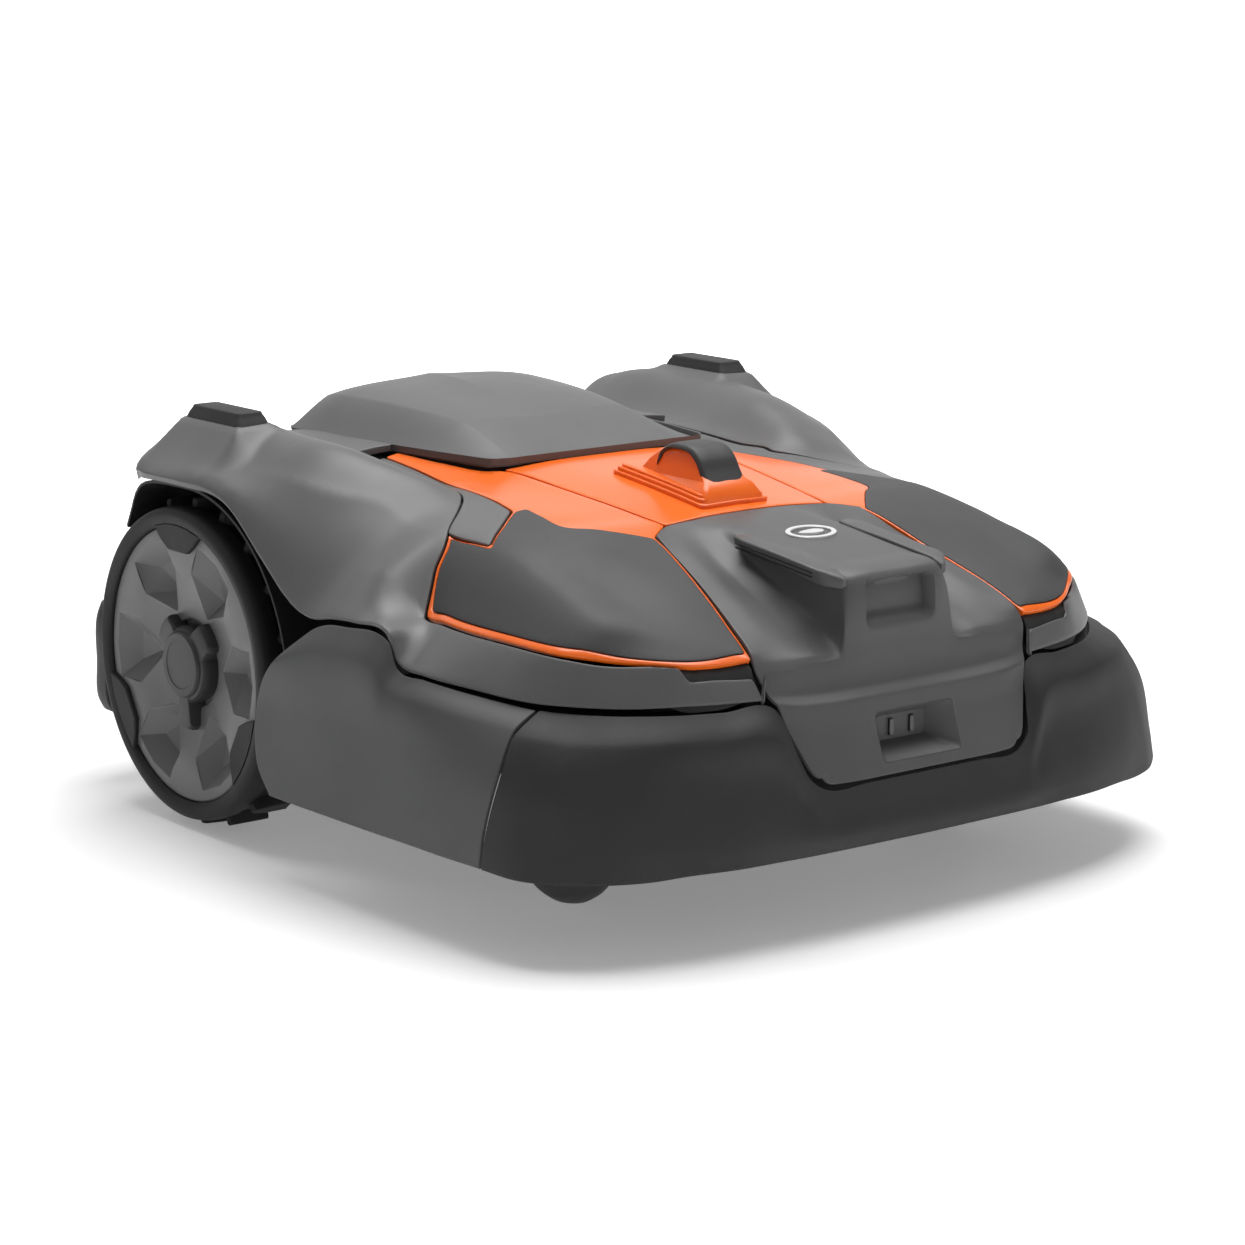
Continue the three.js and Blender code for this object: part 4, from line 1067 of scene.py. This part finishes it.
def wheel_housings():
    """Band over the wheel, running out to the rear, and a flat wall on its inner side."""
    def arc(r, stop, start=0, steps=60):
        return [polar(r, start - 90 + (stop - start) * i / steps) for i in range(steps + 1)]

    def curved(x0, x1, outer, inner):
        centre = Vector((0, *WHEEL_CENTRE.yz))
        return loft([[centre + Vector((x, *p)) for x, p in ((x0, i), (x1, i), (x1, o), (x0, o))]
                     for o, i in zip(outer, inner)])
    liner = [Vector(p) for p in arc(LINER_R, 88, 8, 34) + LINER_REAR]
    liner = smooth(liner, [2] * (len(liner) - 1))
    inside = [p * (1 - 2.6 / p.length) for p in liner]
    solid = gather([curved(231, 318, liner, inside), curved(230, 233, arc(LINER_R, 170), arc(70, 170))])
    pair("wheel_housing", solid, "black_plastic", look=HOUSING_BLACK, sharp=40)


def lathe(profile, segments, at):
    """Closed solid of revolution: profile is a closed loop of (radius, offset) pairs."""
    turns = [math.tau * k / segments for k in range(segments)]
    return loft([[at(r * math.cos(a), r * math.sin(a), h) for r, h in profile] for a in turns], looped=True)


def softened(profile, r):
    """Profile loop with each corner cut into a short arc."""
    out = []
    n = len(profile)
    for i in range(n):
        p = Vector(profile[i])
        a, b = Vector(profile[i - 1]), Vector(profile[(i + 1) % n])
        cut = min(r, (a - p).length * 0.45, (b - p).length * 0.45)
        u, w = p + (a - p).normalized() * cut, p + (b - p).normalized() * cut
        for t in (0, 0.33, 0.67, 1):
            q = u * (1 - t) ** 2 + p * 2 * t * (1 - t) + w * t * t
            out.append((q.x, q.y))
    return out


def tread_lug(degrees):
    """Block across the tread with a pointed outer end."""
    turn = Matrix.Rotation(math.radians(degrees), 4, "X")
    rings = []
    for r, grow in ((133, 1.2), (143.4, 0.0), (145, -1.3)):
        plan = [(-27, -8 - grow), (-8, -8.5 - grow), (8 + grow, -3.6), (10 + grow, 0), (8 + grow, 3.6),
                (-8, 8.5 + grow), (-27, 8 + grow), (-28 - grow, 0)]
        rings.append([WHEEL_CENTRE + (turn @ Vector((x, w, r))) for x, w in plan])
    return loft(rings)


def wall_tab(clock):
    """Raised tab that reaches from the tyre's wall over the rim's edge."""
    rings = []
    for out, cut in ((18, 0), (27.4, 0), (28.6, 1.2)):
        half = [(123, 8), (123, 17.5 - 0.4 * cut), (110, 13.5 - 0.5 * cut), (101 + cut, 8.5 - 0.5 * cut)]
        around = [(123, 0)] + half + [(r, -turn) for r, turn in reversed(half)]
        rings.append([on_wheel(*polar(r, clock + turn), out) for r, turn in around])
    return loft(rings)


def tyres():
    profile = [(RIM_R + 0.4, -26), (128, -30), (133, -27), (135, -18), (135, 4), (137.6, 8), (138, 20),
               (136.3, 27), (131, 30), (RIM_R + 3, 28.5), (RIM_R + 0.4, 26)]
    parts = [lathe(softened(profile, 3), 120, on_wheel)]
    parts += [tread_lug(360 / LUGS * i) for i in range(LUGS)]
    parts += [wall_tab(clock) for clock in (0, 120, 240)]
    pair("tyre", gather(parts), "tyre_rubber", "drive_wheel", sharp=28)


def rim_face(r):
    """Offset of the rim's outer face along the axle at a radius."""
    hub_face, edge_face = 13.0, 24.0
    return hub_face + (edge_face - hub_face) * ramp((r - HUB_R) / (FLAT_R - HUB_R))


def extend(verts, faces, ids, levels):
    """Adds rings of the given (radius, offset) levels after the ring ids, and a cap on the last."""
    for r, out in levels:
        new = []
        for i in ids:
            p = verts[i] - WHEEL_CENTRE
            d = p.yz.normalized()
            new.append(len(verts))
            verts.append(on_wheel(d.x * r, d.y * r, out))
        faces += [(ids[k - 1], ids[k], new[k], new[k - 1]) for k in range(len(ids))]
        ids = new
    faces.append(tuple(ids))


def rims():
    """A dished disc with faceted kite-shaped pockets between flat spokes, its lip, barrel and hub well."""
    flat, constraints = [], []

    def loop(points_2d):
        first = len(flat)
        flat.extend(Vector(p) for p in points_2d)
        ids = list(range(first, len(flat)))
        constraints.extend(zip(ids, ids[1:] + ids[:1]))
        return ids
    outer = loop([polar(RIM_R - 1.5, 3 * k) for k in range(120)])
    loop([polar(FLAT_R, 4 * k) for k in range(90)])
    hub_edge = loop([polar(HUB_R, 6 * k) for k in range(60)])
    clocks = [360 / SPOKES * (i + 0.5) for i in range(SPOKES)]
    kite = [(48, 0), (83, 21), (111, 15), (112, 0), (111, -15), (83, -21)]
    pockets = [loop([polar(r, clock + turn) for r, turn in kite]) for clock in clocks]
    kites = [[flat[i] for i in ids] for ids in pockets]
    for r in (55, 66, 77, 88):
        spots = [Vector(polar(r, 10 * k)) for k in range(36)]
        flat.extend(spot for spot in spots if not centre_in([spot], kites))
    made, _, triangles, origin, _, _ = delaunay_2d_cdt(flat, constraints, [outer], 1, 1e-4)
    back = {source: new for new, sources in enumerate(origin) for source in sources}

    verts = [on_wheel(p.x, p.y, rim_face(p.length)) for p in made]
    faces = []
    for t in triangles:
        spots = [made[i] for i in t]
        if sum(spots, Vector((0, 0))).length / 3 > HUB_R - 0.1 and not centre_in(spots, kites):
            faces.append(tuple(t))
    for clock, ids in zip(clocks, pockets):
        i0, s1, o1, oc, o2, s2 = [back[i] for i in ids]
        f, g, h = range(len(verts), len(verts) + 3)
        for r, turn, deep in ((66, 0, 17.0), (95, 8, 15.0), (95, -8, 15.0)):
            verts.append(on_wheel(*polar(r, clock + turn), rim_face(r) - deep))
        faces += [(i0, s1, f), (s1, g, f), (s1, o1, g), (o1, oc, g), (oc, h, g), (oc, o2, h), (o2, s2, h),
                  (s2, f, h), (s2, i0, f), (f, g, h)]
    barrel = [(RIM_R - 0.4, 23.5), (RIM_R, 22.4), (RIM_R, -24), (RIM_R - 6, -24), (RIM_R - 8, -6), (45, -10)]
    extend(verts, faces, [back[i] for i in outer], barrel)
    extend(verts, faces, [back[i] for i in hub_edge], [(39, 12.3), (38.4, 10), (38.4, 8.2)])
    solid = fix_normals(verts, faces)
    pair("rim", solid, "rim_grey", "drive_wheel", bevel=0.9, segments=2, angle=14, sharp=40)


def fix_normals(verts, faces):
    """The closed mesh with doubles merged and every face turned outwards."""
    mesh = bmesh.new()
    made = [mesh.verts.new(v) for v in verts]
    for f in faces:
        mesh.faces.new([made[i] for i in f])
    bmesh.ops.remove_doubles(mesh, verts=mesh.verts, dist=0.001)
    bmesh.ops.delete(mesh, geom=[v for v in mesh.verts if not v.link_faces], context="VERTS")
    bmesh.ops.recalc_face_normals(mesh, faces=mesh.faces)
    mesh.verts.index_update()
    points = [v.co.copy() for v in mesh.verts]
    polygons = [tuple(v.index for v in f.verts) for f in mesh.faces]
    mesh.free()
    return points, oriented(points, polygons)


def hub_caps():
    """A round cap with two short lobes above and a longer one below, and a raised plain disc on it."""
    clocks = [360 * k / 96 for k in range(96)]
    core = 35.0
    lobes = ((-50, 49, 17), (50, 49, 17), (180, 60, 11))

    def lobed(clock):
        r = core
        for lobe, reach, half in lobes:
            away = abs((clock - lobe + 180) % 360 - 180)
            r = max(r, core + (reach - core) * ramp((half * 1.45 - away) / (half * 0.55)))
        return r
    rings = [[on_wheel(*polar(lobed(clock) - inset, clock), out) for clock in clocks]
             for inset, out in ((1.5, 8.4), (1.5, 17), (1.8, 21), (3.2, 23.6), (5.5, 24.8))]
    rings += [[on_wheel(*polar(r, clock), out) for clock in clocks]
              for r, out in ((29.5, 25.2), (28.6, 27.4), (27.4, 28.4), (21.5, 28.6), (20.8, 28.0), (8, 28.2))]
    pair("hub_cap", loft(rings), "black_plastic", "drive_wheel", look=LOOKS["dark_plastic"], sharp=34)


def caster_wheels():
    low, high = [Vector(corner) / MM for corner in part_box("caster_wheel_left")]
    centre = (low + high) / 2
    half = (high.x - low.x) / 2
    radius = (high.z - low.z) / 2
    side = [(5.4, half), (12, half), (13, half - 4), (36, half - 5), (38, half), (46, half), (55, half - 4),
            (60, half - 11)]
    profile = [(r, -h) for r, h in side] + [(radius, 0)] + side[::-1]
    solid = lathe(softened(profile, 2.0), 72, lambda u, v, h: centre + Vector((h, u, v)))
    pair("caster_wheel", solid, "caster_plastic", "caster_roller", sharp=35)


for build in (side_frames, side_panels, shoulder_inserts, side_shells, vent_floors, hood_cover,
              nose_cover, charging_recess, charging_contacts, visor_ears, nose_emblem, beacon_base,
              stop_button, lid, rear_deck, rear_bumper, front_bumper, side_skirts, shade_shelves,
              wheel_housings, grip_pads, tyres, rims, hub_caps, caster_wheels):
    build()


# ---------- floor and backdrop
def plain_sheet(name, corner_points, material):
    obj = bpy.data.objects.new(name, bpy.data.meshes.new(name))
    obj.data.from_pydata(corner_points, [], [(0, 1, 2, 3)])
    obj.data.materials.append(material)
    scene.collection.objects.link(obj)
    return obj


def pale_floor():
    """Pale floor that glows, more with distance until it meets the white backdrop: painted light, which also
    lightens the object's shadow on it.
    """
    pale = surface_material("floor_painted_light", (0.86, 0.86, 0.86), 0.7, grain=90, bump=0.01, mottle=0.004,
                            wear=0.0)
    tree = pale.node_tree
    away = node(tree, "ShaderNodeVectorMath", operation="LENGTH")
    tree.links.new(tree.nodes["Texture Coordinate"].outputs["Object"], away.inputs[0])
    # Painted light: emission that lifts the floor's shadow near the object and brightens the floor far away.
    painted_light = ranged(tree, away.outputs["Value"], 0.7, 2.3, 0.24, 0.9)
    bsdf = tree.nodes["Principled BSDF"]
    bsdf.inputs["Emission Color"].default_value = (1, 1, 1, 1)
    tree.links.new(painted_light, bsdf.inputs["Emission Strength"])
    return plain_sheet("floor", [(-30, -30, 0), (30, -30, 0), (30, 30, 0), (-30, 30, 0)], pale)


def white_backdrop():
    white = bpy.data.materials.new("backdrop_white")
    white.use_nodes = True
    bsdf = white.node_tree.nodes["Principled BSDF"]
    bsdf.inputs["Base Color"].default_value = (0.9, 0.9, 0.9, 1)
    bsdf.inputs["Emission Color"].default_value = (1, 1, 1, 1)
    bsdf.inputs["Emission Strength"].default_value = 1.0
    obj = plain_sheet("backdrop", [(-9, 2.6, -0.2), (9, 2.6, -0.2), (9, 2.6, 6), (-9, 2.6, 6)], white)
    obj.rotation_euler = (0, 0, CAMERA_TURN)
    obj.visible_diffuse = False
    obj.visible_glossy = False
    obj.visible_shadow = False
    return obj


pale_floor()
white_backdrop()
